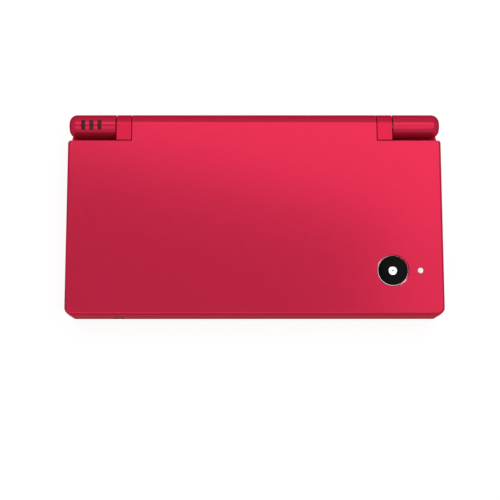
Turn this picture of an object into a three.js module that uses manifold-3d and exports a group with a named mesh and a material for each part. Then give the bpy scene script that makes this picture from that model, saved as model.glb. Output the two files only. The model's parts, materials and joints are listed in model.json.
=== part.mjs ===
import * as THREE from "three";
import { mergeVertices } from "three/addons/utils/BufferGeometryUtils.js";
import Module from "manifold-3d";

// A clamshell handheld game console, closed.
// Millimetres. +X is the player's right, +Y points to the hinge and +Z is up.
// The origin lies under the middle of the outline, on the surface that the feet stand on.

const wasm = await Module();
wasm.setup();

// Outline of the closed console
const WIDTH = 137;
const DEPTH = 74.9;
const LID_THICKNESS = 8;
const LID_GAP = 0.4;
const FOOT_HEIGHT = 0.5;
const FRONT_CORNER_RADIUS = 3.2;
const LID_REAR_CORNER_RADIUS = 1.2;
const BASE_REAR_CORNER_RADIUS = 9;
const BASE_INSET = 0.3;
const LID_TOP_EDGE = 1;
const LID_REAR_EDGE = 0.3;
const LID_BOTTOM_EDGE = 0.6;
const DECK_EDGE = 0.6;
const BASE_BOTTOM_EDGE = 2;

// Clearances
const FIT = 0.1;
const SEAM = 0.25;
const RUNNING_GAP = 0.3;
const OVERRUN = 1;

// Walls
const BASE_WALL = 1.4;
const FLOOR = 1.2;
const DECK = 1.3;
const BEZEL = 0.6;
const LID_WALL = 1.3;
const LID_FACE = 1.2;
const LID_INNER_HEIGHT = 2;
const RIB = 1;

// Hinge
const BARREL_RADIUS = 4.25;
const BARREL_LENGTH = 17.35;
const BARREL_END_INSET = 0.1;
const BARREL_END_ROUNDING = 2.9;
const BARREL_END_WALL = 3.4;
const BARREL_BORE_RADIUS = 3;
const BARREL_GROOVE = 2;
const NECK_HALF_DEPTH = 3.2;
const NECK_RISE = 2.2;
const KNUCKLE_WIDTH = 5.55;
const KNUCKLE_REACH = 6;
const TROUGH_GAP = 0.35;
const SHAFT_RADIUS = 1.8;
const SHAFT_SEAT = 4.45;
const SHAFT_REACH = 11.25;
const SLEEVE_WALL = 0.8;
const SLEEVE_SEAT = 4.75;
const SLEEVE_REACH = 3.55;
const LID_HOLLOW_RADIUS = 2.95;

// Indicator lamps in the left barrel
const LAMP_WINDOW_WIDTH = 1.3;
const LAMP_WINDOW_PITCH = 3;
const LAMP_WINDOW_FRONT = 2;
const LAMP_WINDOW_BACK = 1.35;
const LAMP_MIDDLE_INSET = 8.5;
const LIGHT_BAR_LOW = 1.75;
const LIGHT_BAR_HIGH = 2.2;
const LAMP_WINDOWS = 3;

// Game card socket
const CARD_OPENING_HEIGHT = 4.4;
const CARD_OPENING_WIDTH = 33.8;
const CARD_SOCKET_PLATE = 0.3;
const CARD_SOCKET_RAIL = 1;
const CARD_CONTACT_DEPTH = 4;
const CARD_MIDDLE_X = -4;

// Battery and its cover
const BATTERY_LENGTH = 50;
const BATTERY_DEPTH = 29;
const BATTERY_MIDDLE_X = -8;
const BATTERY_EDGE = 1.5;
const COVER_THICKNESS = 0.7;
const COVER_SIDE_MARGIN = 4.8;
const COVER_FRONT_MARGIN = 1.6;
const COVER_CORNER = 2;
const BAY_CEILING = 0.6;

// Boards, displays and the touch panel
const BOARD_THICKNESS = 0.6;
const BOARD_SIDE_GAP = 0.5;
const BOARD_EAR_REAR_INSET = 6.95;
const BOARD_REAR_INSET = 2.95;
const BOARD_EAR_SIDE_INSET = 5;
const BOARD_CORNER_REAR_INSET = 12.95;
const LOWER_DISPLAY_KEY_GAP = 3.3;
const LOWER_DISPLAY_FRONT_MARGIN = 7.05;
const LOWER_DISPLAY_REAR_MARGIN = 3.35;
const LOWER_DISPLAY_THICKNESS = 1.7;
const TOUCH_PANEL_SIDE_INSET = 0.7;
const TOUCH_PANEL_END_OVERHANG = 0.3;
const TOUCH_PANEL_THICKNESS = 0.7;
const SCREEN_SIDE_BORDER = 2.5;
const SCREEN_END_BORDER = 1.5;
const SCREEN_OPENING_CORNER = 1.2;

// Upper display behind its window in the lid
const UPPER_DISPLAY_SIDE_INSET = 1;
const UPPER_DISPLAY_END_INSET = 1.5;
const UPPER_DISPLAY_THICKNESS = 2.6;
const UPPER_SIDE_BORDER = 3;
const UPPER_END_BORDER = 2.8;
const WINDOW_WING_GAP = 2.7;
const WINDOW_FRONT_MARGIN = 4.55;
const WINDOW_REAR_MARGIN = 2.85;
const WINDOW_THICKNESS = 0.8;
const WINDOW_CORNER = 1.6;

// Wings of the lid's inner face, hollowed to clear the keys
const WING_SIDE_RIM = 2.6;
const WING_END_RIM = 4.4;
const WING_RECESS = 1.4;
const WING_FLOOR = 1;
const WING_CORNER = 3;

// Speakers
const SPEAKER_WIDTH = 12;
const SPEAKER_DEPTH = 20;
const SPEAKER_THICKNESS = 2.8;
const SPEAKER_CORNER = 2.5;
const SPEAKER_INSET = 14.5;
const SPEAKER_CAMERA_PITCH = 18.4;
const SPEAKER_SLOTS = 6;
const SPEAKER_SLOT_LENGTH = 8.4;
const SPEAKER_SLOT_WIDTH = 1.1;
const SPEAKER_SLOT_PITCH = 2.6;

// Outer camera and its lamp
const CAMERA_SIDE_INSET = 18.5;
const CAMERA_FRONT_INSET = 16.05;
const CAMERA_RING_RADIUS = 5.7;
const CAMERA_RING_WALL = 0.25;
const CAMERA_RING_FLANGE = 0.9;
const CAMERA_RING_SEAT = 0.85;
const CAMERA_FLANGE_THICKNESS = 0.5;
const CAMERA_WINDOW_THICKNESS = 0.7;
const CAMERA_LENS_RADIUS = 1.55;
const CAMERA_BODY_WIDTH = 8;
const CAMERA_BODY_HEIGHT = 2.8;
const CAMERA_BOARD_THICKNESS = 0.5;
const CAMERA_BOARD_MARGIN = 0.8;
const OUTER_LAMP_PITCH = 10;
const OUTER_LAMP_RADIUS = 1;
const OUTER_LAMP_FLANGE = 0.4;
const OUTER_LAMP_BODY = 2.2;

// Inner camera and microphone in the middle of the hinge
const INNER_CAMERA_RADIUS = 1.8;
const INNER_CAMERA_SINK = 0.2;
const INNER_CAMERA_BODY_WIDTH = 6;
const INNER_CAMERA_BODY_DEPTH = 4.2;
const INNER_CAMERA_BODY_DROP = 1.9;
const INNER_BOARD_RISE = 1.25;
const INNER_BOARD_THICKNESS = 0.4;
const INNER_BOARD_MARGIN = 3;
const MICROPHONE_X = -9;
const MICROPHONE_RADIUS = 1.2;
const MICROPHONE_HOLE_RADIUS = 0.5;

// Flexes
const FLEX_THICKNESS = 0.2;
const FLEX_ROLL_RADIUS = 1.5;
const DISPLAY_FLEX_WIDTH = 3.7;
const DISPLAY_FLEX_LAP = 4.6;
const BOARD_FLEX_WIDTH = 2.3;
const BOARD_FLEX_LAP = 9.2;

// Keys
const MEMBRANE_THICKNESS = 0.4;
const FLANGE_THICKNESS = 0.6;
const FLANGE_OVERHANG = 0.8;
const KEY_GAP = 0.3;
const KEY_RISE = 0.9;
const KEY_EDGE = 0.5;
const KEY_CROWN = 0.12;
const MEMBRANE_DOME_RADIUS = 2.2;
const MEMBRANE_DOME_TOP_RADIUS = 1.5;
const MEMBRANE_MARGIN = 1.2;
const PAD_INSET = 16.5;
const FACE_CLUSTER_INSET = 16.5;
const CLUSTER_Y = 6;
const FACE_KEY_RADIUS = 3.7;
const FACE_KEY_SPREAD = 7.9;
const SMALL_KEY_RADIUS = 2;
const START_INSET = 20.3;
const START_Y = -14.8;
const SELECT_Y = -22.3;
const POWER_INSET = 16.5;
const POWER_Y = -24;
const PAD_LENGTH = 20.4;
const PAD_ARM = 6.7;
const PAD_GAP = 0.4;
const PAD_FLANGE_RADIUS = 11;
const PAD_POCKET = 0.7;
const PAD_EDGE = 0.5;
const PAD_POST_RADIUS = 2;
const PAD_DOME_REACH = 7.4;

// Shoulder buttons
const SHOULDER_LENGTH = 27.9;
const SHOULDER_RETURN = 9.25;
const SHOULDER_SIDE_GAP = 0.9;
const SHOULDER_WALL = 2.6;
const SHOULDER_HEIGHT = 6;
const SHOULDER_PIVOT_INSET = 2.4;
const SHOULDER_PIN_RADIUS = 0.6;
const SHOULDER_BORE_RADIUS = 0.8;
const SHOULDER_NUB_INSET = 7.3;
const SHOULDER_NUB_WIDTH = 2.4;
const SHOULDER_NUB_REACH = 1.9;
const SHOULDER_SWITCH_DEPTH = 3.3;
const SHOULDER_SWITCH_HEIGHT = 1.8;
const SHOULDER_SWITCH_GAP = 0.8;

// Volume buttons
const VOLUME_KEY_LENGTH = 6.2;
const VOLUME_KEY_HEIGHT = 2.4;
const VOLUME_KEY_PITCH = 8.4;
const VOLUME_MIDDLE_Y = -8;
const VOLUME_MIDDLE_Z = 4.4;
const VOLUME_FLANGE = 0.6;
const VOLUME_SWITCH_GAP = 0.7;
const VOLUME_SWITCH_DEPTH = 2;

// Memory card socket and door
const MEMORY_OPENING_WIDTH = 24.4;
const MEMORY_OPENING_HEIGHT = 2.6;
const MEMORY_SOCKET_LENGTH = 25.6;
const MEMORY_SOCKET_WALL = 0.35;
const MEMORY_SOCKET_SIDE = 1;
const MEMORY_SOCKET_BACK = 2.5;
const MEMORY_PAD = 1.2;
const DOOR_THICKNESS = 1;
const DOOR_LENGTH = 27.4;
const DOOR_SHOULDER_GAP = 2.3;
const DOOR_TOP = 6.4;
const DOOR_AXIS_Z = 3.3;

// Sockets for the charger and headphones
const CHARGE_WIDTH = 10;
const CHARGE_DEPTH = 8;
const CHARGE_HEIGHT = 3.4;
const CHARGE_MOUTH_WIDTH = 7;
const CHARGE_MOUTH_HEIGHT = 2;
const CHARGE_TONGUE = 0.6;
const JACK_SIDE_INSET = 18.5;
const JACK_WIDTH = 7;
const JACK_DEPTH = 11;
const JACK_BORE_RADIUS = 1.8;
const JACK_HOLE_RADIUS = 2.2;

// Stylus
const STYLUS_RADIUS = 2.2;
const STYLUS_WIDTH_SHARE = 0.6715;
const STYLUS_TIP = 4;
const STYLUS_TIP_RADIUS = 0.7;
const STYLUS_CAP_PROUD = 0.3;

// Feet, bumpers and screws
const FOOT_RADIUS = 3;
const FOOT_RECESS = 0.4;
const FOOT_SIDE_INSET = 11;
const FOOT_FRONT_INSET = 8.95;
const FOOT_REAR_INSET = 15.95;
const BUMPER_RADIUS = 1.3;
const BUMPER_RECESS = 0.5;
const BUMPER_PROUD = 0.3;
const BUMPER_SIDE_INSET = 10.5;
const BUMPER_INSET = 2.4;
const SCREW_RADIUS = 0.8;
const SCREW_HEAD_RADIUS = 1.5;
const SCREW_HEAD = 0.8;
const SCREW_BOSS_WALL = 1.2;
const CASE_SCREW_SIDE_INSET = 5.1;
const CASE_SCREW_FRONT_INSET = 10.95;
const CASE_SCREW_DEEP = 6.8;
const COVER_SCREW_DEEP = 3.6;
const COVER_SCREW_INSET = 2.3;

// Wrist strap bar
const STRAP_WIDTH = 4.6;
const STRAP_HEIGHT = 2.6;
const STRAP_BAR = 1.2;

// How finely round pieces are faceted
const BARREL_SIDES = 32;
const ROUND_SIDES = 20;
const SMALL_SIDES = 10;
const CORNER_STEPS = 5;
const EDGE_STEPS = 3;
const BARREL_END_STEPS = 4;
const END_STEPS = 3;

// Heights, from the floor of the base up to the top of the lid
const baseBottom = FOOT_HEIGHT;
const floorTop = baseBottom + FLOOR;
const cardTop = floorTop + CARD_OPENING_HEIGHT;
const socketTop = cardTop + CARD_SOCKET_PLATE;
const boardBottom = socketTop + FIT;
const boardTop = boardBottom + BOARD_THICKNESS;
const displayBottom = boardTop + 2 * FIT;
const displayTop = displayBottom + LOWER_DISPLAY_THICKNESS;
const panelBottom = displayTop + FIT;
const panelTop = panelBottom + TOUCH_PANEL_THICKNESS;
const deckTop = panelTop + FIT + BEZEL;
const deckUnder = deckTop - DECK;
const baseSplit = boardTop - FIT;
const lidBottom = deckTop + LID_GAP;
const lidSplit = lidBottom + LID_INNER_HEIGHT;
const lidTop = lidBottom + LID_THICKNESS;
const wingFace = lidBottom + WING_RECESS;
const wingTop = wingFace + WING_FLOOR;
const lidFaceTop = lidBottom + LID_FACE;
const lidCeiling = lidTop - LID_WALL;

// Places across and along the console
const halfWidth = WIDTH / 2;
const front = -DEPTH / 2;
const rear = DEPTH / 2;
const axisY = rear - BARREL_RADIUS;
const axisZ = lidTop - BARREL_RADIUS;
const axis = [axisY, axisZ];
const lidRear = axisY - BARREL_RADIUS - BARREL_GROOVE;
const barrelOuter = halfWidth - BARREL_END_INSET;
const barrelInner = barrelOuter - BARREL_LENGTH;
const knuckleOuter = barrelInner - RUNNING_GAP;
const knuckleInner = knuckleOuter - KNUCKLE_WIDTH;
const knuckleFront = axisY - KNUCKLE_REACH;
const lidMiddleEnd = knuckleInner - SEAM;
const lidHollowEnd = lidMiddleEnd - LID_WALL;
const boreEnd = barrelOuter - BARREL_END_WALL;
const baseHalf = halfWidth - BASE_INSET;
const baseFront = front + BASE_INSET;
const baseRear = rear - BASE_INSET;
const baseFrontCorner = FRONT_CORNER_RADIUS - BASE_INSET;
const baseX = [-baseHalf, baseHalf];
const baseY = [baseFront, baseRear];
const baseCorners = [baseFrontCorner, BASE_REAR_CORNER_RADIUS];
const lidX = [-halfWidth, halfWidth];
const lidY = [front, lidRear];
const lidCorners = [FRONT_CORNER_RADIUS, LID_REAR_CORNER_RADIUS];
const stylusY = baseFront + BASE_WALL + RUNNING_GAP + STYLUS_RADIUS;
const stylusZ = floorTop + RUNNING_GAP + STYLUS_RADIUS;
const stylusHoleRadius = STYLUS_RADIUS + RUNNING_GAP;
const bayFront = stylusY + stylusHoleRadius + RIB;
const bayRear = bayFront + BATTERY_DEPTH + 4 * FIT;
const bayX = around(BATTERY_MIDDLE_X, BATTERY_LENGTH + 4 * FIT);
const cardSocketFront = bayRear + RIB + RUNNING_GAP;
const cardX = around(CARD_MIDDLE_X, CARD_OPENING_WIDTH);
const cardSocketRear = baseRear - BASE_WALL - FIT;
const flangeTop = deckUnder - FIT;
const flangeBottom = flangeTop - FLANGE_THICKNESS;
const keyTop = deckTop + KEY_RISE;
const membraneBottom = boardTop + FIT;
const membraneTop = membraneBottom + MEMBRANE_THICKNESS;
const shoulderBottom = baseBottom + BASE_BOTTOM_EDGE + RUNNING_GAP;
const shoulderTop = shoulderBottom + SHOULDER_HEIGHT;
const shoulderPivotY = baseRear - SHOULDER_WALL / 2;
const shoulderInner = halfWidth - SHOULDER_LENGTH;
const shoulderFront = rear - SHOULDER_RETURN;
const shoulderNubX = halfWidth - SHOULDER_NUB_INSET;
const memoryMiddleY = shoulderFront - DOOR_SHOULDER_GAP - DOOR_LENGTH / 2;
const chargeMiddleX = (cardX[1] + CARD_SOCKET_RAIL + shoulderInner) / 2;
const strapMiddleX = (cardX[0] - CARD_SOCKET_RAIL - shoulderInner) / 2;
const jackX = -(halfWidth - JACK_SIDE_INSET);
const stylusLength = WIDTH * STYLUS_WIDTH_SHARE;
const cameraX = halfWidth - CAMERA_SIDE_INSET;
const cameraY = front + CAMERA_FRONT_INSET;

// The keys leave the room between their flanges to the displays.
const keyReach = FACE_KEY_SPREAD + FACE_KEY_RADIUS + KEY_GAP + FLANGE_OVERHANG;
const keyInner = halfWidth - FACE_CLUSTER_INSET - keyReach;
const lowerDisplayX = around(0, 2 * (keyInner - LOWER_DISPLAY_KEY_GAP));
const lowerDisplayY = [front + LOWER_DISPLAY_FRONT_MARGIN, lidRear - LOWER_DISPLAY_REAR_MARGIN];
const touchPanelX = grown(lowerDisplayX, -TOUCH_PANEL_SIDE_INSET);
const touchPanelY = grown(lowerDisplayY, TOUCH_PANEL_END_OVERHANG);
const wingInner = keyInner + KEY_GAP + FIT;
const windowX = around(0, 2 * (wingInner - WINDOW_WING_GAP));
const windowY = [front + WINDOW_FRONT_MARGIN, lidRear - WINDOW_REAR_MARGIN];
const upperDisplayX = grown(windowX, -UPPER_DISPLAY_SIDE_INSET);
const upperDisplayY = grown(windowY, -UPPER_DISPLAY_END_INSET);

// Finishes
const crimson = finish(0xc4143f, 0.42, 0);
const crimsonKey = finish(0xb81240, 0.38, 0);
const blackGlass = finish(0x08080a, 0.06, 0);
const displayGrey = finish(0x17191d, 0.25, 0.1);
const blackPlastic = finish(0x1a1a1c, 0.5, 0);
const smokedPlastic = finish(0x5c1e24, 0.3, 0);
const milkyPlastic = finish(0xf2f2ee, 0.35, 0);
const steel = finish(0xb9bcc0, 0.28, 1);
const chrome = finish(0xe6e8ea, 0.12, 1);
const rubber = finish(0x2b2b2d, 0.85, 0);
const keyRubber = finish(0xd8d5cb, 0.8, 0);
const boardGreen = finish(0x1d5a38, 0.55, 0);
const amber = finish(0xb3702a, 0.5, 0);
const batteryGrey = finish(0xb7b9bd, 0.6, 0);

const handheld = new THREE.Group();

function finish(colour, roughness, metalness) {
  return new THREE.MeshStandardMaterial({ color: colour, roughness, metalness });
}

// The range of a given length about a middle.
function around(middle, length) {
  return [middle - length / 2, middle + length / 2];
}

// The same range on the right side, 1, or mirrored on the left side, -1.
function onSide(side, near, far) {
  return side > 0 ? [near, far] : [-far, -near];
}

function grown(range, by) {
  return [range[0] - by, range[1] + by];
}

// A closed geometry as a solid with its faces turned outwards.
function solidOf(geometry) {
  const bare = new THREE.BufferGeometry();
  bare.setAttribute("position", geometry.getAttribute("position").clone());
  if (geometry.index) bare.setIndex(geometry.index.clone());
  const merged = mergeVertices(bare);
  const vertProperties = merged.getAttribute("position").array;
  const triVerts = new Uint32Array(merged.index.array);
  const solid = new wasm.Manifold(new wasm.Mesh({ numProp: 3, vertProperties, triVerts }));
  if (solid.volume() > 0) return solid;
  triVerts.reverse();
  return new wasm.Manifold(new wasm.Mesh({ numProp: 3, vertProperties, triVerts }));
}

function joined(solids) {
  return solids.reduce((whole, solid) => whole.add(solid));
}

function cut(solid, cuts) {
  return cuts.reduce((rest, one) => rest.subtract(one), solid);
}

function block(x, y, z) {
  const geometry = new THREE.BoxGeometry(x[1] - x[0], y[1] - y[0], z[1] - z[0]);
  geometry.translate((x[0] + x[1]) / 2, (y[0] + y[1]) / 2, (z[0] + z[1]) / 2);
  return solidOf(geometry);
}

// A round rod along one axis, centred at its two other coordinates, in the order x, y, z.
function rod(along, radius, range, centre, sides = ROUND_SIDES) {
  const geometry = new THREE.CylinderGeometry(radius, radius, range[1] - range[0], sides);
  const middle = (range[0] + range[1]) / 2;
  if (along === "x") {
    geometry.rotateZ(-Math.PI / 2);
    geometry.translate(middle, centre[0], centre[1]);
  }
  if (along === "y") geometry.translate(centre[0], middle, centre[1]);
  if (along === "z") {
    geometry.rotateX(Math.PI / 2);
    geometry.translate(centre[0], centre[1], middle);
  }
  return solidOf(geometry);
}

// A profile of [radius, height] points turned about an upright line.
function turned(profile, centre, sides = ROUND_SIDES) {
  const points = profile.map(([radius, height]) => new THREE.Vector2(radius, height));
  const geometry = new THREE.LatheGeometry(points, sides);
  geometry.rotateX(Math.PI / 2);
  geometry.translate(centre[0], centre[1], 0);
  return solidOf(geometry);
}

// A profile of [radius, distance outwards from the middle] points turned about the hinge axis.
function turnedOnHinge(profile, side, sides = ROUND_SIDES) {
  const points = profile.map(([radius, height]) => new THREE.Vector2(radius, height));
  const geometry = new THREE.LatheGeometry(points, sides);
  geometry.rotateZ((-side * Math.PI) / 2);
  geometry.translate(0, axisY, axisZ);
  return solidOf(geometry);
}

// A flat outline of [x, y] points raised between two heights.
function prism(outline, z) {
  const shape = new THREE.Shape(outline.map(([x, y]) => new THREE.Vector2(x, y)));
  const geometry = new THREE.ExtrudeGeometry(shape, { depth: z[1] - z[0], bevelEnabled: false });
  geometry.translate(0, 0, z[0]);
  return solidOf(geometry);
}

// The points of a rounded rectangle drawn in by an inset, anticlockwise from the rear right.
function roundedOutline(x, y, corners, inset) {
  const [frontRadius, rearRadius] = corners;
  const places = [
    [x[1], y[1], rearRadius, 0],
    [x[0], y[1], rearRadius, 1],
    [x[0], y[0], frontRadius, 2],
    [x[1], y[0], frontRadius, 3],
  ];
  const points = [];
  for (const [cornerX, cornerY, radius, quarter] of places) {
    const middleX = cornerX - Math.sign(cornerX - (x[0] + x[1]) / 2) * radius;
    const middleY = cornerY - Math.sign(cornerY - (y[0] + y[1]) / 2) * radius;
    for (let step = 0; step <= CORNER_STEPS; step++) {
      const angle = ((quarter + step / CORNER_STEPS) * Math.PI) / 2;
      const reach = radius - inset;
      points.push([middleX + reach * Math.cos(angle), middleY + reach * Math.sin(angle)]);
    }
  }
  return points;
}

// A rounded rectangular slab whose long edges are rounded above and below.
function slab(x, y, z, corners, topEdge = 0, bottomEdge = 0) {
  const levels = [];
  const steps = Array.from({ length: EDGE_STEPS + 1 }, (_, step) => step / EDGE_STEPS);
  for (const part of bottomEdge > 0 ? steps : [1]) {
    const angle = (part * Math.PI) / 2;
    levels.push([bottomEdge * (1 - Math.sin(angle)), z[0] + bottomEdge * (1 - Math.cos(angle))]);
  }
  for (const part of topEdge > 0 ? steps : [0]) {
    const angle = (part * Math.PI) / 2;
    levels.push([topEdge * (1 - Math.cos(angle)), z[1] - topEdge * (1 - Math.sin(angle))]);
  }
  const rings = levels.map(([inset, height]) => ({
    height,
    outline: roundedOutline(x, y, corners, inset),
  }));
  return solidOf(lofted(rings));
}

// A closed skin over outlines that all have as many points.
function lofted(rings) {
  const count = rings[0].outline.length;
  const positions = rings.flatMap(({ outline, height }) => outline.flatMap(([x, y]) => [x, y, height]));
  const indices = [];
  for (let ring = 0; ring + 1 < rings.length; ring++) {
    for (let point = 0; point < count; point++) {
      const next = (point + 1) % count;
      const [a, b] = [ring * count + point, ring * count + next];
      indices.push(a, b, b + count, a, b + count, a + count);
    }
  }
  const flat = rings[0].outline.map(([x, y]) => new THREE.Vector2(x, y));
  const top = (rings.length - 1) * count;
  for (const [a, b, c] of THREE.ShapeUtils.triangulateShape(flat, [])) {
    indices.push(a, c, b);
    indices.push(top + a, top + b, top + c);
  }
  const geometry = new THREE.BufferGeometry();
  geometry.setAttribute("position", new THREE.Float32BufferAttribute(positions, 3));
  geometry.setIndex(indices);
  return geometry;
}

// A slot with round ends, lying along X.
function roundEndedSlot(middleX, middleY, length, width, z) {
  const reach = (length - width) / 2;
  const shape = new THREE.Shape();
  shape.absarc(middleX + reach, middleY, width / 2, -Math.PI / 2, Math.PI / 2);
  shape.absarc(middleX - reach, middleY, width / 2, Math.PI / 2, (3 * Math.PI) / 2);
  const settings = { depth: z[1] - z[0], bevelEnabled: false, curveSegments: END_STEPS };
  const geometry = new THREE.ExtrudeGeometry(shape, settings);
  geometry.translate(0, 0, z[0]);
  return solidOf(geometry);
}

// A cross of two equal bars, its upright edges standing and its long edges rounded.
function cross(middle, length, arm, z, edge) {
  const [l, a] = [length / 2, arm / 2];
  const outline = [
    [a, a],
    [a, l],
    [-a, l],
    [-a, a],
    [-l, a],
    [-l, -a],
    [-a, -a],
    [-a, -l],
    [a, -l],
    [a, -a],
    [l, -a],
    [l, a],
  ];
  const shape = new THREE.Shape(
    outline.map(([x, y]) => new THREE.Vector2(x + middle[0], y + middle[1])),
  );
  const settings = {
    depth: z[1] - z[0] - 2 * edge,
    bevelEnabled: edge > 0,
    bevelSize: edge,
    bevelOffset: -edge,
    bevelThickness: edge,
    bevelSegments: END_STEPS - 1,
  };
  const geometry = new THREE.ExtrudeGeometry(shape, settings);
  geometry.translate(0, 0, z[0] + edge);
  return solidOf(geometry);
}

function addPiece(name, solid, material) {
  const made = solid.getMesh();
  const geometry = new THREE.BufferGeometry();
  const positions = new Float32Array(made.vertProperties);
  geometry.setAttribute("position", new THREE.BufferAttribute(positions, 3));
  geometry.setIndex(new THREE.BufferAttribute(new Uint32Array(made.triVerts), 1));
  geometry.computeVertexNormals();
  const mesh = new THREE.Mesh(geometry, material);
  mesh.name = name;
  handheld.add(mesh);
}

// The lid's middle part, which runs back over the hinge axis, above or below the lid's split.
function lidMiddle(end, z) {
  const x = [-end, end];
  const run = block(x, [lidRear - LID_WALL - LID_TOP_EDGE, axisY], [lidBottom, lidTop]);
  const round = rod("x", BARREL_RADIUS, x, axis, BARREL_SIDES);
  return joined([run, round]).intersect(block(x, [front, rear + OVERRUN], z));
}

// The hollow in the lid's middle part, for the inner camera and the flex.
function lidMiddleHollow(z) {
  const x = [-lidHollowEnd, lidHollowEnd];
  const run = block(x, [lidRear - LID_WALL - LID_TOP_EDGE, axisY], [lidFaceTop, lidCeiling]);
  const round = rod("x", LID_HOLLOW_RADIUS, x, axis);
  return joined([run, round]).intersect(block(x, [front, rear], z));
}

// The way for the flex through the left knuckle, and the seat of the left sleeve.
function sleeveSeat() {
  const outer = BARREL_BORE_RADIUS - RUNNING_GAP + FIT;
  return rod("x", outer, [-knuckleOuter - OVERRUN, -lidHollowEnd + OVERRUN], axis);
}

function lidOuterShell() {
  const z = [lidSplit, lidTop];
  const rounded = slab(lidX, [front, rear], z, lidCorners, LID_TOP_EDGE);
  const crisp = slab(lidX, [front - FRONT_CORNER_RADIUS, lidRear], z, lidCorners, LID_REAR_EDGE);
  const top = rounded.intersect(crisp);
  const middle = lidMiddle(lidMiddleEnd, [lidSplit, lidTop + OVERRUN]);
  const hollowZ = [lidSplit - OVERRUN, lidCeiling];
  const hollowCorners = [FRONT_CORNER_RADIUS - LID_WALL, LID_REAR_CORNER_RADIUS / 2];
  const hollow = slab(grown(lidX, -LID_WALL), grown(lidY, -LID_WALL), hollowZ, hollowCorners);
  const through = [lidCeiling - OVERRUN, lidTop + OVERRUN];
  const cameraHole = rod("z", CAMERA_RING_RADIUS + FIT, through, [cameraX, cameraY], BARREL_SIDES);
  const lampAt = [cameraX + OUTER_LAMP_PITCH, cameraY];
  const lampHole = rod("z", OUTER_LAMP_RADIUS + FIT, through, lampAt, SMALL_SIDES);
  const cuts = [hollow, lidMiddleHollow(hollowZ), cameraHole, lampHole, sleeveSeat()];
  return cut(top.add(middle), cuts);
}

function speakerPlace(side) {
  return [side * (halfWidth - SPEAKER_INSET), cameraY + SPEAKER_CAMERA_PITCH];
}

function bumperPlaces() {
  const [low, high] = grown(lidY, -BUMPER_INSET);
  const x = halfWidth - BUMPER_SIDE_INSET;
  return {
    bumper_front_right: [x, low],
    bumper_front_left: [-x, low],
    bumper_rear_right: [x, high],
    bumper_rear_left: [-x, high],
  };
}

function lidInnerShell() {
  const rim = slab(lidX, lidY, [lidBottom, lidSplit], lidCorners, 0, LID_BOTTOM_EDGE);
  const wings = [1, -1].map((side) => {
    const x = onSide(side, wingInner - RIB, halfWidth - LID_WALL - FIT);
    const y = grown(lidY, -LID_WALL - FIT);
    const corner = FRONT_CORNER_RADIUS - LID_WALL;
    return slab(x, y, [lidSplit - LID_BOTTOM_EDGE, wingTop], [corner, LID_REAR_CORNER_RADIUS]);
  });
  const knuckles = [1, -1].map((side) => {
    const x = onSide(side, knuckleInner, knuckleOuter);
    const square = block(x, [knuckleFront, axisY], [lidBottom, lidTop]);
    return square.add(rod("x", BARREL_RADIUS, x, axis, BARREL_SIDES));
  });
  const middle = lidMiddle(knuckleOuter, [lidBottom - OVERRUN, lidSplit]);

  const centreX = [-(wingInner - RIB), wingInner - RIB];
  const hollow = block(centreX, grown(lidY, -LID_WALL), [lidFaceTop, lidTop]);
  const openingZ = [lidBottom - OVERRUN, lidSplit + OVERRUN];
  const openingX = grown(windowX, -UPPER_SIDE_BORDER);
  const openingY = grown(windowY, -UPPER_END_BORDER);
  const opening = plate(openingX, openingY, openingZ, SCREEN_OPENING_CORNER);
  const rebateZ = [lidBottom - OVERRUN, lidBottom + WINDOW_THICKNESS + FIT];
  const rebate = plate(grown(windowX, FIT), grown(windowY, FIT), rebateZ, WINDOW_CORNER + FIT);
  const recesses = [1, -1].map((side) => {
    const x = onSide(side, wingInner, halfWidth - WING_SIDE_RIM);
    const y = grown(lidY, -WING_END_RIM);
    return slab(x, y, [lidBottom - OVERRUN, wingFace], [WING_CORNER, WING_CORNER]);
  });
  const slots = [1, -1].flatMap((side) => speakerSlots(speakerPlace(side)));
  const cameraZ = [lidBottom - BARREL_RADIUS, axisZ];
  const cameraHole = rod("z", INNER_CAMERA_RADIUS + FIT, cameraZ, [0, axisY]);
  const soundHole = rod("z", MICROPHONE_HOLE_RADIUS, cameraZ, [MICROPHONE_X, axisY], SMALL_SIDES);
  const bumperZ = [lidBottom - OVERRUN, lidBottom + BUMPER_RECESS];
  const bumperSeats = Object.values(bumperPlaces()).map((place) =>
    rod("z", BUMPER_RADIUS + FIT, bumperZ, place, SMALL_SIDES),
  );
  const shaftX = [knuckleOuter - SHAFT_SEAT - FIT, knuckleOuter + OVERRUN];
  const shaftSeat = rod("x", SHAFT_RADIUS + FIT, shaftX, axis);
  const shell = joined([rim.subtract(hollow), ...wings, ...knuckles, middle]);
  const holes = [opening, rebate, ...recesses, ...slots, cameraHole, soundHole];
  const seats = [...bumperSeats, shaftSeat, sleeveSeat(), lidMiddleHollow([lidFaceTop, lidTop])];
  return cut(shell, [...holes, ...seats, barrelFloorHollow()]);
}

// The round hollow of the lid's middle part below the inner face's level.
function barrelFloorHollow() {
  const x = [-lidHollowEnd, lidHollowEnd];
  return rod("x", LID_HOLLOW_RADIUS, x, axis);
}

function speakerSlots([middleX, middleY]) {
  const first = middleY - ((SPEAKER_SLOTS - 1) / 2) * SPEAKER_SLOT_PITCH;
  const z = [wingFace - OVERRUN, wingTop + OVERRUN];
  return Array.from({ length: SPEAKER_SLOTS }, (_, slot) => {
    const y = first + slot * SPEAKER_SLOT_PITCH;
    return roundEndedSlot(middleX, y, SPEAKER_SLOT_LENGTH, SPEAKER_SLOT_WIDTH, z);
  });
}

// A plate with four like corners.
function plate(x, y, z, corner) {
  return slab(x, y, z, [corner, corner]);
}

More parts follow.
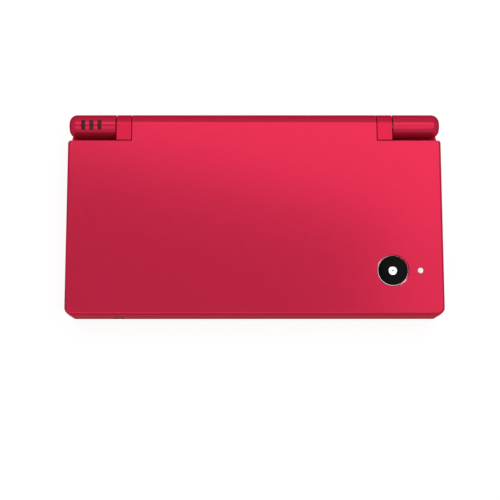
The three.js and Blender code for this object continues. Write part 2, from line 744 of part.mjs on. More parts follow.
// The three lamp windows in the left barrel, drawn in or let out by a margin.
function lampWindows(margin, low) {
  const middle = -(halfWidth - LAMP_MIDDLE_INSET);
  const y = [axisY - LAMP_WINDOW_FRONT - margin, axisY + LAMP_WINDOW_BACK + margin];
  return Array.from({ length: LAMP_WINDOWS }, (_, window) => {
    const x = middle + (window - (LAMP_WINDOWS - 1) / 2) * LAMP_WINDOW_PITCH;
    const width = LAMP_WINDOW_WIDTH + 2 * margin;
    return block(around(x, width), y, [low, axisZ + BARREL_RADIUS + OVERRUN]);
  });
}

function indicatorLightGuide() {
  const barLength = (LAMP_WINDOWS - 1) * LAMP_WINDOW_PITCH + 2 * LAMP_WINDOW_WIDTH;
  const x = around(-(halfWidth - LAMP_MIDDLE_INSET), barLength);
  const y = [axisY - LAMP_WINDOW_FRONT + FIT, axisY + LAMP_WINDOW_BACK];
  const bar = block(x, y, [axisZ + LIGHT_BAR_LOW, axisZ + LIGHT_BAR_HIGH]);
  const prongs = joined(lampWindows(0, axisZ + LIGHT_BAR_LOW));
  return bar.add(prongs.intersect(rod("x", BARREL_RADIUS, grown(x, OVERRUN), axis, BARREL_SIDES)));
}

// A hinge barrel of the base with its neck, closed and rounded at its outer end.
function barrel(side) {
  const profile = [
    [0, barrelInner],
    [BARREL_RADIUS, barrelInner],
  ];
  for (let step = 0; step <= BARREL_END_STEPS; step++) {
    const angle = ((step / BARREL_END_STEPS) * Math.PI) / 2;
    profile.push([
      BARREL_RADIUS - BARREL_END_ROUNDING * (1 - Math.cos(angle)),
      barrelOuter - BARREL_END_ROUNDING * (1 - Math.sin(angle)),
    ]);
  }
  profile.push([0, barrelOuter]);
  const neckX = onSide(side, barrelInner, barrelOuter - BARREL_END_ROUNDING);
  const neckY = [axisY - NECK_HALF_DEPTH, axisY + NECK_HALF_DEPTH];
  const neck = block(neckX, neckY, [deckTop - DECK / 2, axisZ - NECK_RISE]);
  return turnedOnHinge(profile, side, BARREL_SIDES).add(neck);
}

function facePlaces() {
  const [x, y] = [halfWidth - FACE_CLUSTER_INSET, CLUSTER_Y];
  return {
    face_button_right: [x + FACE_KEY_SPREAD, y],
    face_button_lower: [x, y - FACE_KEY_SPREAD],
    face_button_upper: [x, y + FACE_KEY_SPREAD],
    face_button_left: [x - FACE_KEY_SPREAD, y],
  };
}

function smallKeyPlaces() {
  return {
    start_button: [halfWidth - START_INSET, START_Y],
    select_button: [halfWidth - START_INSET, SELECT_Y],
    power_button: [-(halfWidth - POWER_INSET), POWER_Y],
  };
}

const padPlace = [-(halfWidth - PAD_INSET), CLUSTER_Y];

function shoulderWindow(side) {
  const x = onSide(side, shoulderInner - RUNNING_GAP, halfWidth + OVERRUN);
  const y = [shoulderFront - SHOULDER_SIDE_GAP, rear + OVERRUN];
  return block(x, y, [shoulderBottom - RUNNING_GAP, shoulderTop + RUNNING_GAP]);
}

function caseScrewPlaces() {
  const [x, y] = [halfWidth - CASE_SCREW_SIDE_INSET, front + CASE_SCREW_FRONT_INSET];
  return [
    [x, y],
    [-x, y],
  ];
}

function stylusHole() {
  const x = [baseHalf - BASE_WALL - OVERRUN, halfWidth + OVERRUN];
  return rod("x", stylusHoleRadius, x, [stylusY, stylusZ]);
}

function baseTopShell() {
  const deck = slab(baseX, baseY, [baseSplit, deckTop], baseCorners, DECK_EDGE);
  const hollowCorners = baseCorners.map((radius) => radius - BASE_WALL);
  const hollowZ = [baseSplit - OVERRUN, deckUnder];
  const hollow = slab(grown(baseX, -BASE_WALL), grown(baseY, -BASE_WALL), hollowZ, hollowCorners);
  const bossRadius = SCREW_RADIUS + SCREW_BOSS_WALL;
  const bossZ = [baseSplit + SEAM, deckUnder + FIT];
  const bosses = caseScrewPlaces().map((place) => rod("z", bossRadius, bossZ, place, SMALL_SIDES));
  const shell = joined([deck.subtract(hollow), barrel(1), barrel(-1), ...bosses]);

  const troughX = [-barrelInner, barrelInner];
  const trough = rod("x", BARREL_RADIUS + TROUGH_GAP, troughX, axis, BARREL_SIDES);
  const bores = [1, -1].map((side) =>
    rod("x", BARREL_BORE_RADIUS, onSide(side, barrelInner - OVERRUN, boreEnd), axis),
  );
  const openingZ = [deckUnder - OVERRUN, deckTop + OVERRUN];
  const openingX = grown(lowerDisplayX, -SCREEN_SIDE_BORDER);
  const openingY = grown(lowerDisplayY, -SCREEN_END_BORDER);
  const opening = plate(openingX, openingY, openingZ, SCREEN_OPENING_CORNER);
  const pocketZ = [deckUnder - OVERRUN, deckTop - BEZEL];
  const pocketX = grown(touchPanelX, FIT);
  const pocket = plate(pocketX, grown(touchPanelY, FIT), pocketZ, SCREEN_OPENING_CORNER);
  const padHole = cross(padPlace, PAD_LENGTH + 2 * PAD_GAP, PAD_ARM + 2 * PAD_GAP, openingZ, 0);
  const padPocketZ = [deckUnder - OVERRUN, deckUnder + PAD_POCKET];
  const padPocket = rod("z", PAD_FLANGE_RADIUS + KEY_GAP, padPocketZ, padPlace);
  const faceHoles = Object.values(facePlaces()).map((place) =>
    rod("z", FACE_KEY_RADIUS + KEY_GAP, openingZ, place),
  );
  const smallHoles = Object.values(smallKeyPlaces()).map((place) =>
    rod("z", SMALL_KEY_RADIUS + KEY_GAP, openingZ, place),
  );
  const screwZ = [baseSplit - OVERRUN, deckUnder - FIT];
  const screwHoles = caseScrewPlaces().map((place) =>
    rod("z", SCREW_RADIUS + FIT, screwZ, place, SMALL_SIDES),
  );
  const flexX = grown(boardFlexX(), RUNNING_GAP);
  const flexY = around(axisY, FLEX_THICKNESS + 4 * RUNNING_GAP);
  const flexSlot = block(flexX, flexY, [deckUnder - OVERRUN, axisZ]);
  const windows = lampWindows(FIT, axisZ + LIGHT_BAR_LOW);
  const shoulders = [1, -1].map(shoulderWindow);
  const keys = [padHole, padPocket, ...faceHoles, ...smallHoles, ...shoulders];
  const rest = [trough, ...bores, opening, pocket, ...screwHoles, flexSlot, ...windows, stylusHole()];
  return cut(shell, [...keys, ...rest]);
}

function footPlaces() {
  const x = halfWidth - FOOT_SIDE_INSET;
  const [low, high] = [front + FOOT_FRONT_INSET, rear - FOOT_REAR_INSET];
  return {
    foot_front_right: [x, low],
    foot_front_left: [-x, low],
    foot_rear_right: [x, high],
    foot_rear_left: [-x, high],
  };
}

function coverRange() {
  const x = grown(bayX, COVER_SIDE_MARGIN);
  const y = grown([bayFront, bayRear], COVER_FRONT_MARGIN);
  return { x, y };
}

function coverScrewPlaces() {
  const { x, y } = coverRange();
  const middleY = (y[0] + y[1]) / 2;
  return [
    [x[1] - COVER_SCREW_INSET, middleY],
    [x[0] + COVER_SCREW_INSET, middleY],
  ];
}

function doorY() {
  return around(memoryMiddleY, DOOR_LENGTH);
}

function volumePlaces() {
  return {
    volume_up_button: VOLUME_MIDDLE_Y + VOLUME_KEY_PITCH / 2,
    volume_down_button: VOLUME_MIDDLE_Y - VOLUME_KEY_PITCH / 2,
  };
}

function baseBottomShell() {
  const tray = slab(baseX, baseY, [baseBottom, baseSplit], baseCorners, 0, BASE_BOTTOM_EDGE);
  const hollowCorners = baseCorners.map((radius) => radius - BASE_WALL);
  const hollowZ = [floorTop, baseSplit + OVERRUN];
  const hollow = slab(grown(baseX, -BASE_WALL), grown(baseY, -BASE_WALL), hollowZ, hollowCorners);
  const wallZ = [floorTop - FLOOR / 2, socketTop];
  const outerX = grown(bayX, RIB);
  const bay = block(outerX, grown([bayFront, bayRear], RIB), wallZ);
  const cradleX = [bayX[0] + RIB, bayX[1] + RIB, (bayX[1] + baseHalf) / 2];
  const cradleY = [baseFront + BASE_WALL / 2, bayFront - RIB / 2];
  const cradles = cradleX.map((x) => block(around(x, RIB), cradleY, wallZ));
  const mouth = block(
    [baseHalf - BASE_WALL - MEMORY_PAD, baseHalf - BASE_WALL / 2],
    grown(doorY(), RUNNING_GAP + RIB / 2),
    wallZ,
  );
  const bossRadius = SCREW_HEAD_RADIUS + 2 * FIT + SCREW_BOSS_WALL / 2;
  const bosses = caseScrewPlaces().map((place) => rod("z", bossRadius, wallZ, place, SMALL_SIDES));
  const coverBossZ = [wallZ[0], baseBottom + COVER_SCREW_DEEP + SCREW_HEAD];
  const coverBosses = coverScrewPlaces().map((place) =>
    rod("z", SCREW_RADIUS + SCREW_BOSS_WALL, coverBossZ, place, SMALL_SIDES),
  );
  const solids = [tray.subtract(hollow), bay, ...cradles, mouth, ...bosses, ...coverBosses];

  const bayZ = [baseBottom - OVERRUN, socketTop - BAY_CEILING];
  const bayHollow = block(bayX, [bayFront, bayRear], bayZ);
  const { x: coverX, y: coverY } = coverRange();
  const coverZ = [baseBottom - OVERRUN, baseBottom + COVER_THICKNESS + FIT];
  const rebateCorners = [COVER_CORNER + FIT, COVER_CORNER + FIT];
  const rebate = slab(grown(coverX, FIT), grown(coverY, FIT), coverZ, rebateCorners);
  const cardY = [cardSocketRear - OVERRUN, rear + OVERRUN];
  const cardSlot = block(cardX, cardY, [floorTop, cardTop]);
  const chargeX = around(chargeMiddleX, CHARGE_MOUTH_WIDTH + 4 * FIT);
  const chargeZ = around(chargeMiddleZ(), CHARGE_MOUTH_HEIGHT + 4 * FIT);
  const chargeHole = block(chargeX, cardY, chargeZ);
  const jackY = [baseFront - OVERRUN, baseFront + BASE_WALL + OVERRUN];
  const jackHole = rod("y", JACK_HOLE_RADIUS, jackY, [jackX, jackMiddleZ()]);
  const doorPocket = block(
    [baseHalf - DOOR_THICKNESS - FIT, halfWidth + OVERRUN],
    grown(doorY(), RUNNING_GAP),
    [DOOR_AXIS_Z - DOOR_THICKNESS / 2 - RUNNING_GAP, DOOR_TOP + RUNNING_GAP],
  );
  const memoryX = [baseHalf - BASE_WALL - MEMORY_PAD - OVERRUN, baseHalf];
  const memoryY = around(memoryMiddleY, MEMORY_OPENING_WIDTH);
  const memorySlot = block(memoryX, memoryY, memoryOpeningZ());
  const volumeSlots = Object.values(volumePlaces()).map((y) =>
    block(
      [-halfWidth - OVERRUN, -(baseHalf - BASE_WALL - OVERRUN)],
      around(y, VOLUME_KEY_LENGTH + 2 * KEY_GAP),
      around(VOLUME_MIDDLE_Z, VOLUME_KEY_HEIGHT + 2 * KEY_GAP),
    ),
  );
  const footZ = [baseBottom - OVERRUN, baseBottom + FOOT_RECESS];
  const footSeats = Object.values(footPlaces()).map((place) => rod("z", FOOT_RADIUS + FIT, footZ, place));
  const headZ = [baseBottom - OVERRUN, baseBottom + 2 * FIT + SCREW_HEAD];
  const headRadius = SCREW_HEAD_RADIUS + 2 * FIT;
  const heads = caseScrewPlaces().map((place) => rod("z", headRadius, headZ, place, SMALL_SIDES));
  const screwZ = [baseBottom - OVERRUN, baseSplit];
  const screwPlaces = [...caseScrewPlaces(), ...coverScrewPlaces()];
  const screwHoles = screwPlaces.map((place) =>
    rod("z", SCREW_RADIUS + FIT, screwZ, place, SMALL_SIDES),
  );
  const stylusX = [-(stylusLength - baseHalf) - OVERRUN, halfWidth + OVERRUN];
  const stylusWay = rod("x", stylusHoleRadius, stylusX, [stylusY, stylusZ]);
  const cuts = [bayHollow, rebate, cardSlot, chargeHole, jackHole, doorPocket, memorySlot, stylusWay];
  const rounds = [...footSeats, ...heads, ...screwHoles, ...volumeSlots, ...strapCuts()];
  return cut(joined(solids), [...cuts, ...rounds, shoulderWindow(1), shoulderWindow(-1)]);
}

// Two small ways in the rear wall, with the strap bar left standing between them.
function strapCuts() {
  const z = around((floorTop + boardBottom) / 2, STRAP_HEIGHT);
  const y = [baseRear - BASE_WALL - OVERRUN, rear + OVERRUN];
  const [low, high] = around(strapMiddleX, STRAP_WIDTH);
  const left = block([low, strapMiddleX - STRAP_BAR / 2], y, z);
  const right = block([strapMiddleX + STRAP_BAR / 2, high], y, z);
  return [left, right];
}

function memoryOpeningZ() {
  const top = socketTop - MEMORY_SOCKET_WALL;
  return [top - MEMORY_OPENING_HEIGHT, top];
}

function memoryCardSocket() {
  const outerX = baseHalf - BASE_WALL - MEMORY_PAD - FIT;
  const x = [outerX - MEMORY_SOCKET_LENGTH, outerX];
  const y = around(memoryMiddleY, MEMORY_OPENING_WIDTH + 2 * MEMORY_SOCKET_SIDE);
  const [low, high] = memoryOpeningZ();
  const body = block(x, y, [low - MEMORY_SOCKET_WALL, high + MEMORY_SOCKET_WALL]);
  const way = block(
    [x[0] + MEMORY_SOCKET_BACK, x[1] + OVERRUN],
    around(memoryMiddleY, MEMORY_OPENING_WIDTH),
    [low, high],
  );
  return body.subtract(way);
}

function memoryCardDoor() {
  const middleX = baseHalf - DOOR_THICKNESS / 2;
  const flap = block([baseHalf - DOOR_THICKNESS, baseHalf], doorY(), [DOOR_AXIS_Z, DOOR_TOP]);
  return flap.add(rod("y", DOOR_THICKNESS / 2, doorY(), [middleX, DOOR_AXIS_Z], SMALL_SIDES));
}

function cardSocket() {
  const outerX = grown(cardX, CARD_SOCKET_RAIL);
  const y = [cardSocketFront, cardSocketRear];
  const body = block(outerX, y, [floorTop + FIT, socketTop]);
  const wayY = [cardSocketFront + CARD_CONTACT_DEPTH, cardSocketRear + OVERRUN];
  return body.subtract(block(cardX, wayY, [floorTop, cardTop]));
}

function chargeMiddleZ() {
  return socketTop - CHARGE_HEIGHT / 2;
}

function chargingSocket() {
  const rearY = baseRear - BASE_WALL - FIT;
  const y = [rearY - CHARGE_DEPTH, rearY];
  const body = block(around(chargeMiddleX, CHARGE_WIDTH), y, [socketTop - CHARGE_HEIGHT, socketTop]);
  const mouthY = [y[0] + RIB, rearY + OVERRUN];
  const mouthX = around(chargeMiddleX, CHARGE_MOUTH_WIDTH);
  const mouth = block(mouthX, mouthY, around(chargeMiddleZ(), CHARGE_MOUTH_HEIGHT));
  const tongueX = around(chargeMiddleX, CHARGE_MOUTH_WIDTH - 2 * CHARGE_TONGUE);
  const tongueY = [y[0] + RIB / 2, rearY - CHARGE_TONGUE];
  const tongue = block(tongueX, tongueY, around(chargeMiddleZ(), CHARGE_TONGUE));
  return body.subtract(mouth).add(tongue);
}

function jackMiddleZ() {
  return (floorTop + socketTop) / 2;
}

function headphoneJack() {
  const frontY = baseFront + BASE_WALL + FIT;
  const y = [frontY, frontY + JACK_DEPTH];
  const body = block(around(jackX, JACK_WIDTH), y, [floorTop + FIT, socketTop]);
  const boreY = [frontY - OVERRUN, y[1] - RIB];
  return body.subtract(rod("y", JACK_BORE_RADIUS, boreY, [jackX, jackMiddleZ()]));
}

// The main board, with the shoulder and volume switches soldered to it.
function mainBoard() {
  const sideX = baseHalf - BASE_WALL - BOARD_SIDE_GAP;
  const innerX = shoulderInner - RIB;
  const boardFront = bayFront - RIB;
  const earX = halfWidth - BOARD_EAR_SIDE_INSET;
  const cornerY = rear - BOARD_CORNER_REAR_INSET;
  const earY = rear - BOARD_EAR_REAR_INSET;
  const right = [
    [sideX, boardFront],
    [sideX, cornerY],
    [earX, cornerY],
    [earX, earY],
    [innerX, earY],
    [innerX, rear - BOARD_REAR_INSET],
  ];
  const left = right.map(([x, y]) => [-x, y]).reverse();
  const board = prism([...right, ...left], [boardBottom, boardTop]);
  const holes = caseScrewPlaces().map((place) =>
    rod("z", SCREW_RADIUS + RUNNING_GAP, [boardBottom - OVERRUN, boardTop + OVERRUN], place, SMALL_SIDES),
  );
  const shoulderZ = [boardTop - BOARD_THICKNESS / 2, boardTop + SHOULDER_SWITCH_HEIGHT];
  const nubY = shoulderNubY() - SHOULDER_SWITCH_GAP;
  const shoulderSwitches = [1, -1].map((side) => {
    const x = around(side * shoulderNubX, SHOULDER_NUB_WIDTH);
    return block(x, [nubY - SHOULDER_SWITCH_DEPTH, nubY], shoulderZ);
  });
  const switchX = -(baseHalf - BASE_WALL - VOLUME_FLANGE - VOLUME_SWITCH_GAP);
  const switchZ = [VOLUME_MIDDLE_Z - VOLUME_KEY_HEIGHT / 2, boardBottom + BOARD_THICKNESS / 2];
  const volumeSwitches = Object.values(volumePlaces()).map((y) =>
    block([switchX, switchX + VOLUME_SWITCH_DEPTH], around(y, VOLUME_KEY_HEIGHT), switchZ),
  );
  return cut(joined([board, ...shoulderSwitches, ...volumeSwitches]), holes);
}

function shoulderNubY() {
  return baseRear - SHOULDER_WALL - SHOULDER_NUB_REACH;
}

function shoulderButton(side) {
  const z = [shoulderBottom, shoulderTop];
  const outer = slab(baseX, baseY, z, baseCorners);
  const innerCorners = [BASE_WALL, BASE_REAR_CORNER_RADIUS - SHOULDER_WALL];
  const innerZ = [z[0] - OVERRUN, z[1] + OVERRUN];
  const inner = slab(grown(baseX, -SHOULDER_WALL), grown(baseY, -SHOULDER_WALL), innerZ, innerCorners);
  const region = block(
    onSide(side, shoulderInner, halfWidth),
    [shoulderFront, rear],
    innerZ,
  );
  const nubX = around(side * shoulderNubX, SHOULDER_NUB_WIDTH);
  const nub = block(nubX, [shoulderNubY(), shoulderPivotY], [boardTop, z[1]]);
  const bore = rod("z", SHOULDER_BORE_RADIUS, innerZ, shoulderPivot(side), SMALL_SIDES);
  return outer.subtract(inner).intersect(region).add(nub).subtract(bore);
}

function shoulderPivot(side) {
  return [side * (shoulderInner + SHOULDER_PIVOT_INSET), shoulderPivotY];
}

function shoulderPin(side) {
  const z = [shoulderBottom - RUNNING_GAP + FIT, shoulderTop + RUNNING_GAP - FIT];
  return rod("z", SHOULDER_PIN_RADIUS, z, shoulderPivot(side), SMALL_SIDES);
}

function roundKey(place, radius) {
  const flangeRadius = radius + KEY_GAP + FLANGE_OVERHANG;
  const profile = [
    [0, flangeBottom],
    [flangeRadius, flangeBottom],
    [flangeRadius, flangeTop],
    [radius, flangeTop],
    [radius, keyTop - KEY_EDGE],
    [radius - KEY_EDGE, keyTop - KEY_CROWN],
    [0, keyTop],
  ];
  return turned(profile, place);
}

function directionPad() {
  const capZ = [flangeTop - FLANGE_THICKNESS / 2, keyTop];
  const cap = cross(padPlace, PAD_LENGTH, PAD_ARM, capZ, PAD_EDGE);
  const flange = rod("z", PAD_FLANGE_RADIUS, [flangeBottom, flangeTop], padPlace);
  const postZ = [membraneTop + FIT, flangeBottom + FLANGE_THICKNESS / 2];
  return joined([cap, flange, rod("z", PAD_POST_RADIUS, postZ, padPlace, SMALL_SIDES)]);
}

// A rubber sheet with a dome under each key, closed below.
function membrane(places, x, y) {
  const sheet = slab(x, y, [membraneBottom, membraneTop], [MEMBRANE_MARGIN, MEMBRANE_MARGIN]);
  const domes = places.map((place) =>
    turned(
      [
        [0, membraneBottom + MEMBRANE_THICKNESS / 2],
        [MEMBRANE_DOME_RADIUS, membraneBottom + MEMBRANE_THICKNESS / 2],
        [MEMBRANE_DOME_RADIUS, membraneTop],
        [MEMBRANE_DOME_TOP_RADIUS, flangeBottom - FIT],
        [0, flangeBottom - FIT],
      ],
      place,
      SMALL_SIDES,
    ),
  );
  return joined([sheet, ...domes]);
}

function membraneFor(places) {
  const reach = MEMBRANE_DOME_RADIUS + MEMBRANE_MARGIN;
  const xs = places.map(([x]) => x);
  const ys = places.map(([, y]) => y);
  const x = grown([Math.min(...xs), Math.max(...xs)], reach);
  const y = grown([Math.min(...ys), Math.max(...ys)], reach);
  return membrane(places, x, y);
}

function directionPadMembrane() {
  const [x, y] = padPlace;
  const places = [
    [x + PAD_DOME_REACH, y],
    [x - PAD_DOME_REACH, y],
    [x, y + PAD_DOME_REACH],
    [x, y - PAD_DOME_REACH],
  ];
  return membraneFor(places);
}

function volumeButton(y) {
  const innerX = -(baseHalf - BASE_WALL - FIT);
  const key = block(
    [-halfWidth, innerX],
    around(y, VOLUME_KEY_LENGTH),
    around(VOLUME_MIDDLE_Z, VOLUME_KEY_HEIGHT),
  );
  const flange = block(
    [innerX, innerX + VOLUME_FLANGE - FIT],
    around(y, VOLUME_KEY_LENGTH + 4 * KEY_GAP),
    around(VOLUME_MIDDLE_Z, VOLUME_KEY_HEIGHT + 4 * KEY_GAP),
  );
  return key.add(flange);
}

function stylus() {
  const end = baseHalf + STYLUS_CAP_PROUD;
  const start = end - stylusLength;
  const profile = [
    [0, start],
    [STYLUS_TIP_RADIUS, start],
    [STYLUS_RADIUS, start + STYLUS_TIP],
    [STYLUS_RADIUS, end - KEY_EDGE],
    [STYLUS_RADIUS - KEY_EDGE, end],
    [0, end],
  ];
  const points = profile.map(([radius, height]) => new THREE.Vector2(radius, height));
  const geometry = new THREE.LatheGeometry(points, ROUND_SIDES);
  geometry.rotateZ(-Math.PI / 2);
  geometry.translate(0, stylusY, stylusZ);
  return solidOf(geometry);
}

function battery() {
  const x = grown(bayX, -2 * FIT);
  const y = grown([bayFront, bayRear], -2 * FIT);
  const z = [baseBottom + COVER_THICKNESS + 2 * FIT, socketTop - BAY_CEILING - FIT];
  return slab(x, y, z, [BATTERY_EDGE, BATTERY_EDGE]);
}

function batteryCover() {
  const { x, y } = coverRange();
  const corners = [COVER_CORNER, COVER_CORNER];
  const cover = slab(x, y, [baseBottom, baseBottom + COVER_THICKNESS], corners);
  const through = [baseBottom - OVERRUN, baseBottom + COVER_THICKNESS + OVERRUN];
  const holes = coverScrewPlaces().map((place) =>
    rod("z", SCREW_RADIUS + FIT, through, place, SMALL_SIDES),
  );
  const sinkZ = [baseBottom - OVERRUN, baseBottom + COVER_THICKNESS / 2];
  const sinks = coverScrewPlaces().map((place) =>
    rod("z", SCREW_HEAD_RADIUS + 2 * FIT, sinkZ, place, SMALL_SIDES),
  );
  return cut(cover, [...holes, ...sinks]);
}

function screw(place, headZ, length) {
  const head = rod("z", SCREW_HEAD_RADIUS, headZ, place, SMALL_SIDES);
  const shank = rod("z", SCREW_RADIUS, [headZ[0], headZ[1] + length], place, SMALL_SIDES);
  return head.add(shank);
}

function caseScrew(place) {
  const top = baseBottom + 2 * FIT + SCREW_HEAD - FIT;
  return screw(place, [top - SCREW_HEAD, top], CASE_SCREW_DEEP);
}

function coverScrew(place) {
  const top = baseBottom + COVER_THICKNESS / 2 - FIT / 2;
  return screw(place, [baseBottom + FIT / 2, top], COVER_SCREW_DEEP);
}

function foot(place) {
  const shrink = FOOT_HEIGHT / 2;
  const profile = [
    [0, 0],
    [FOOT_RADIUS - shrink, 0],
    [FOOT_RADIUS, shrink],
    [FOOT_RADIUS, baseBottom + FOOT_RECESS - FIT],
    [0, baseBottom + FOOT_RECESS - FIT],
  ];
  return turned(profile, place);
}

function bumper(place) {
  const low = lidBottom - BUMPER_PROUD;
  const profile = [
    [0, low],
    [BUMPER_RADIUS - BUMPER_PROUD, low],
    [BUMPER_RADIUS, lidBottom],
    [BUMPER_RADIUS, lidBottom + BUMPER_RECESS - FIT],
    [0, lidBottom + BUMPER_RECESS - FIT],
  ];
  return turned(profile, place, SMALL_SIDES);
}

function cameraRing() {
  const outer = CAMERA_RING_RADIUS;
  const inner = outer - CAMERA_RING_WALL;
  const ledge = inner - CAMERA_RING_SEAT;
  const flangeTopZ = lidCeiling - FIT;
  const flangeLowZ = flangeTopZ - CAMERA_FLANGE_THICKNESS;
  const ledgeZ = lidTop - CAMERA_WINDOW_THICKNESS - 2 * FIT;
  const profile = [
    [ledge, flangeLowZ],
    [outer + CAMERA_RING_FLANGE, flangeLowZ],
    [outer + CAMERA_RING_FLANGE, flangeTopZ],
    [outer, flangeTopZ],
    [outer, lidTop],
    [inner, lidTop],
    [inner, ledgeZ],
    [ledge, ledgeZ],
    [ledge, flangeLowZ],
  ];
  return turned(profile, [cameraX, cameraY], BARREL_SIDES);
}

function cameraWindow() {
  const radius = CAMERA_RING_RADIUS - CAMERA_RING_WALL - FIT;
  const high = lidTop - FIT;
  const low = high - CAMERA_WINDOW_THICKNESS;
  const hole = CAMERA_LENS_RADIUS + FIT;
  const profile = [
    [hole, low],
    [radius, low],
    [radius, high],
    [hole, high],
    [hole, low],
  ];
  return turned(profile, [cameraX, cameraY], BARREL_SIDES);
}

const cameraBoardTop = wingTop + FIT + CAMERA_BOARD_THICKNESS;

function outerCameraModule() {
  const half = CAMERA_BODY_WIDTH / 2;
  const margin = CAMERA_BOARD_MARGIN;
  const boardX = [cameraX - half - margin, cameraX + OUTER_LAMP_PITCH + OUTER_LAMP_BODY];
  const boardY = around(cameraY, CAMERA_BODY_WIDTH + margin);
  const board = block(boardX, boardY, [wingTop + FIT, cameraBoardTop]);
  const bodyZ = [cameraBoardTop - CAMERA_BOARD_THICKNESS / 2, cameraBoardTop + CAMERA_BODY_HEIGHT];
  const body = block(around(cameraX, 2 * half), around(cameraY, 2 * half), bodyZ);
  const lensTop = lidTop - 2 * FIT;
  const lens = turned(
    [
      [0, cameraBoardTop],
      [CAMERA_LENS_RADIUS, cameraBoardTop],
      [CAMERA_LENS_RADIUS, lensTop - 2 * FIT],
      [CAMERA_LENS_RADIUS / 2, lensTop - FIT / 2],
      [0, lensTop],
    ],
    [cameraX, cameraY],
  );
  const lampX = around(cameraX + OUTER_LAMP_PITCH, OUTER_LAMP_BODY);
  const lampZ = [bodyZ[0], lampPipeLow() - FIT];
  const lamp = block(lampX, around(cameraY, OUTER_LAMP_BODY), lampZ);
  return joined([board, body, lens, lamp]);
}

function lampPipeLow() {
  return lidCeiling - CAMERA_FLANGE_THICKNESS - 2 * FIT;
}

function outerCameraLamp() {
  const radius = OUTER_LAMP_RADIUS;
  const flange = radius + OUTER_LAMP_FLANGE;
  const profile = [
    [0, lampPipeLow()],
    [flange, lampPipeLow()],
    [flange, lidCeiling - FIT],
    [radius, lidCeiling - FIT],
    [radius, lidTop],
    [0, lidTop],
  ];
  return turned(profile, [cameraX + OUTER_LAMP_PITCH, cameraY], SMALL_SIDES);
}

// The inner camera and the microphone hang from one narrow board in the lid's middle.
function innerCameraModule() {
  const bodyLow = axisZ - INNER_CAMERA_BODY_DROP;
  const boardLow = axisZ + INNER_BOARD_RISE;
  const boardX = [MICROPHONE_X - INNER_BOARD_MARGIN, INNER_CAMERA_BODY_WIDTH];
  const boardY = around(axisY, INNER_CAMERA_BODY_DEPTH);
  const board = block(boardX, boardY, [boardLow, boardLow + INNER_BOARD_THICKNESS]);
  const meet = boardLow + INNER_BOARD_THICKNESS / 2;
  const body = block(around(0, INNER_CAMERA_BODY_WIDTH), boardY, [bodyLow, meet]);
  const lensLow = axisZ - BARREL_RADIUS + INNER_CAMERA_SINK;
  const lens = rod("z", INNER_CAMERA_RADIUS, [lensLow, axisZ], [0, axisY]);
  const microphoneZ = [axisZ - LID_HOLLOW_RADIUS + 2 * INNER_BOARD_THICKNESS, meet];
  const microphone = rod("z", MICROPHONE_RADIUS, microphoneZ, [MICROPHONE_X, axisY], SMALL_SIDES);
  return joined([board, body, lens, microphone]);
}

function hingeCartridge() {
  const outer = BARREL_BORE_RADIUS - FIT;
  const inner = SHAFT_RADIUS + RUNNING_GAP;
  const mouth = barrelInner + RUNNING_GAP;
  const bottom = knuckleOuter + SHAFT_REACH + RUNNING_GAP;
  const end = boreEnd - 2 * FIT;
  const profile = [
    [0, bottom],
    [inner, bottom],
    [inner, mouth],
    [outer, mouth],
    [outer, end],
    [0, end],
  ];
  return turnedOnHinge(profile, 1);
}

function hingeShaft() {
  const x = [knuckleOuter - SHAFT_SEAT, knuckleOuter + SHAFT_REACH];
  return rod("x", SHAFT_RADIUS, x, axis);
}

function sleeveOuterEnd() {
  return knuckleOuter + RUNNING_GAP + SLEEVE_REACH;
}

function leftHingeSleeve() {
  const outer = BARREL_BORE_RADIUS - RUNNING_GAP;
  const inner = outer - SLEEVE_WALL;
  const [from, to] = [knuckleOuter - SLEEVE_SEAT, sleeveOuterEnd()];
  const profile = [
    [inner, from],
    [outer, from],
    [outer, to],
    [inner, to],
    [inner, from],
  ];
  return turnedOnHinge(profile, -1);
}

function displayFlexX() {
  const outer = -(lidHollowEnd - LID_WALL / 2);
  return [outer, outer + DISPLAY_FLEX_WIDTH];
}

function displayFlex() {
  const z = upperDisplayZ()[1] + FIT;
  const stripY = [upperDisplayY[1] - DISPLAY_FLEX_LAP, axisY];
  const strip = block(displayFlexX(), stripY, [z, z + FLEX_THICKNESS]);
  const rollX = [-sleeveOuterEnd(), displayFlexX()[1]];
  return strip.add(rod("x", FLEX_ROLL_RADIUS, rollX, axis, SMALL_SIDES));
}

function boardFlexX() {
  const inner = -sleeveOuterEnd() - RUNNING_GAP;
  return [inner - BOARD_FLEX_WIDTH, inner];
}

function boardFlex() {
  const x = boardFlexX();
  const low = membraneBottom;
  const y = around(axisY, FLEX_THICKNESS);
  const drop = block(x, y, [low, axisZ]);
  const lap = block(x, [axisY - BOARD_FLEX_LAP, y[1]], [low, low + FLEX_THICKNESS]);
  return joined([drop, lap, rod("x", FLEX_ROLL_RADIUS, x, axis, SMALL_SIDES)]);
}

function upperDisplayZ() {
  return [lidFaceTop + FIT, lidFaceTop + FIT + UPPER_DISPLAY_THICKNESS];
}

function speaker(side) {
  const [x, y] = speakerPlace(side);
  const z = [wingTop + FIT, wingTop + FIT + SPEAKER_THICKNESS];
  const corners = [SPEAKER_CORNER, SPEAKER_CORNER];
  return slab(around(x, SPEAKER_WIDTH), around(y, SPEAKER_DEPTH), z, corners);
}

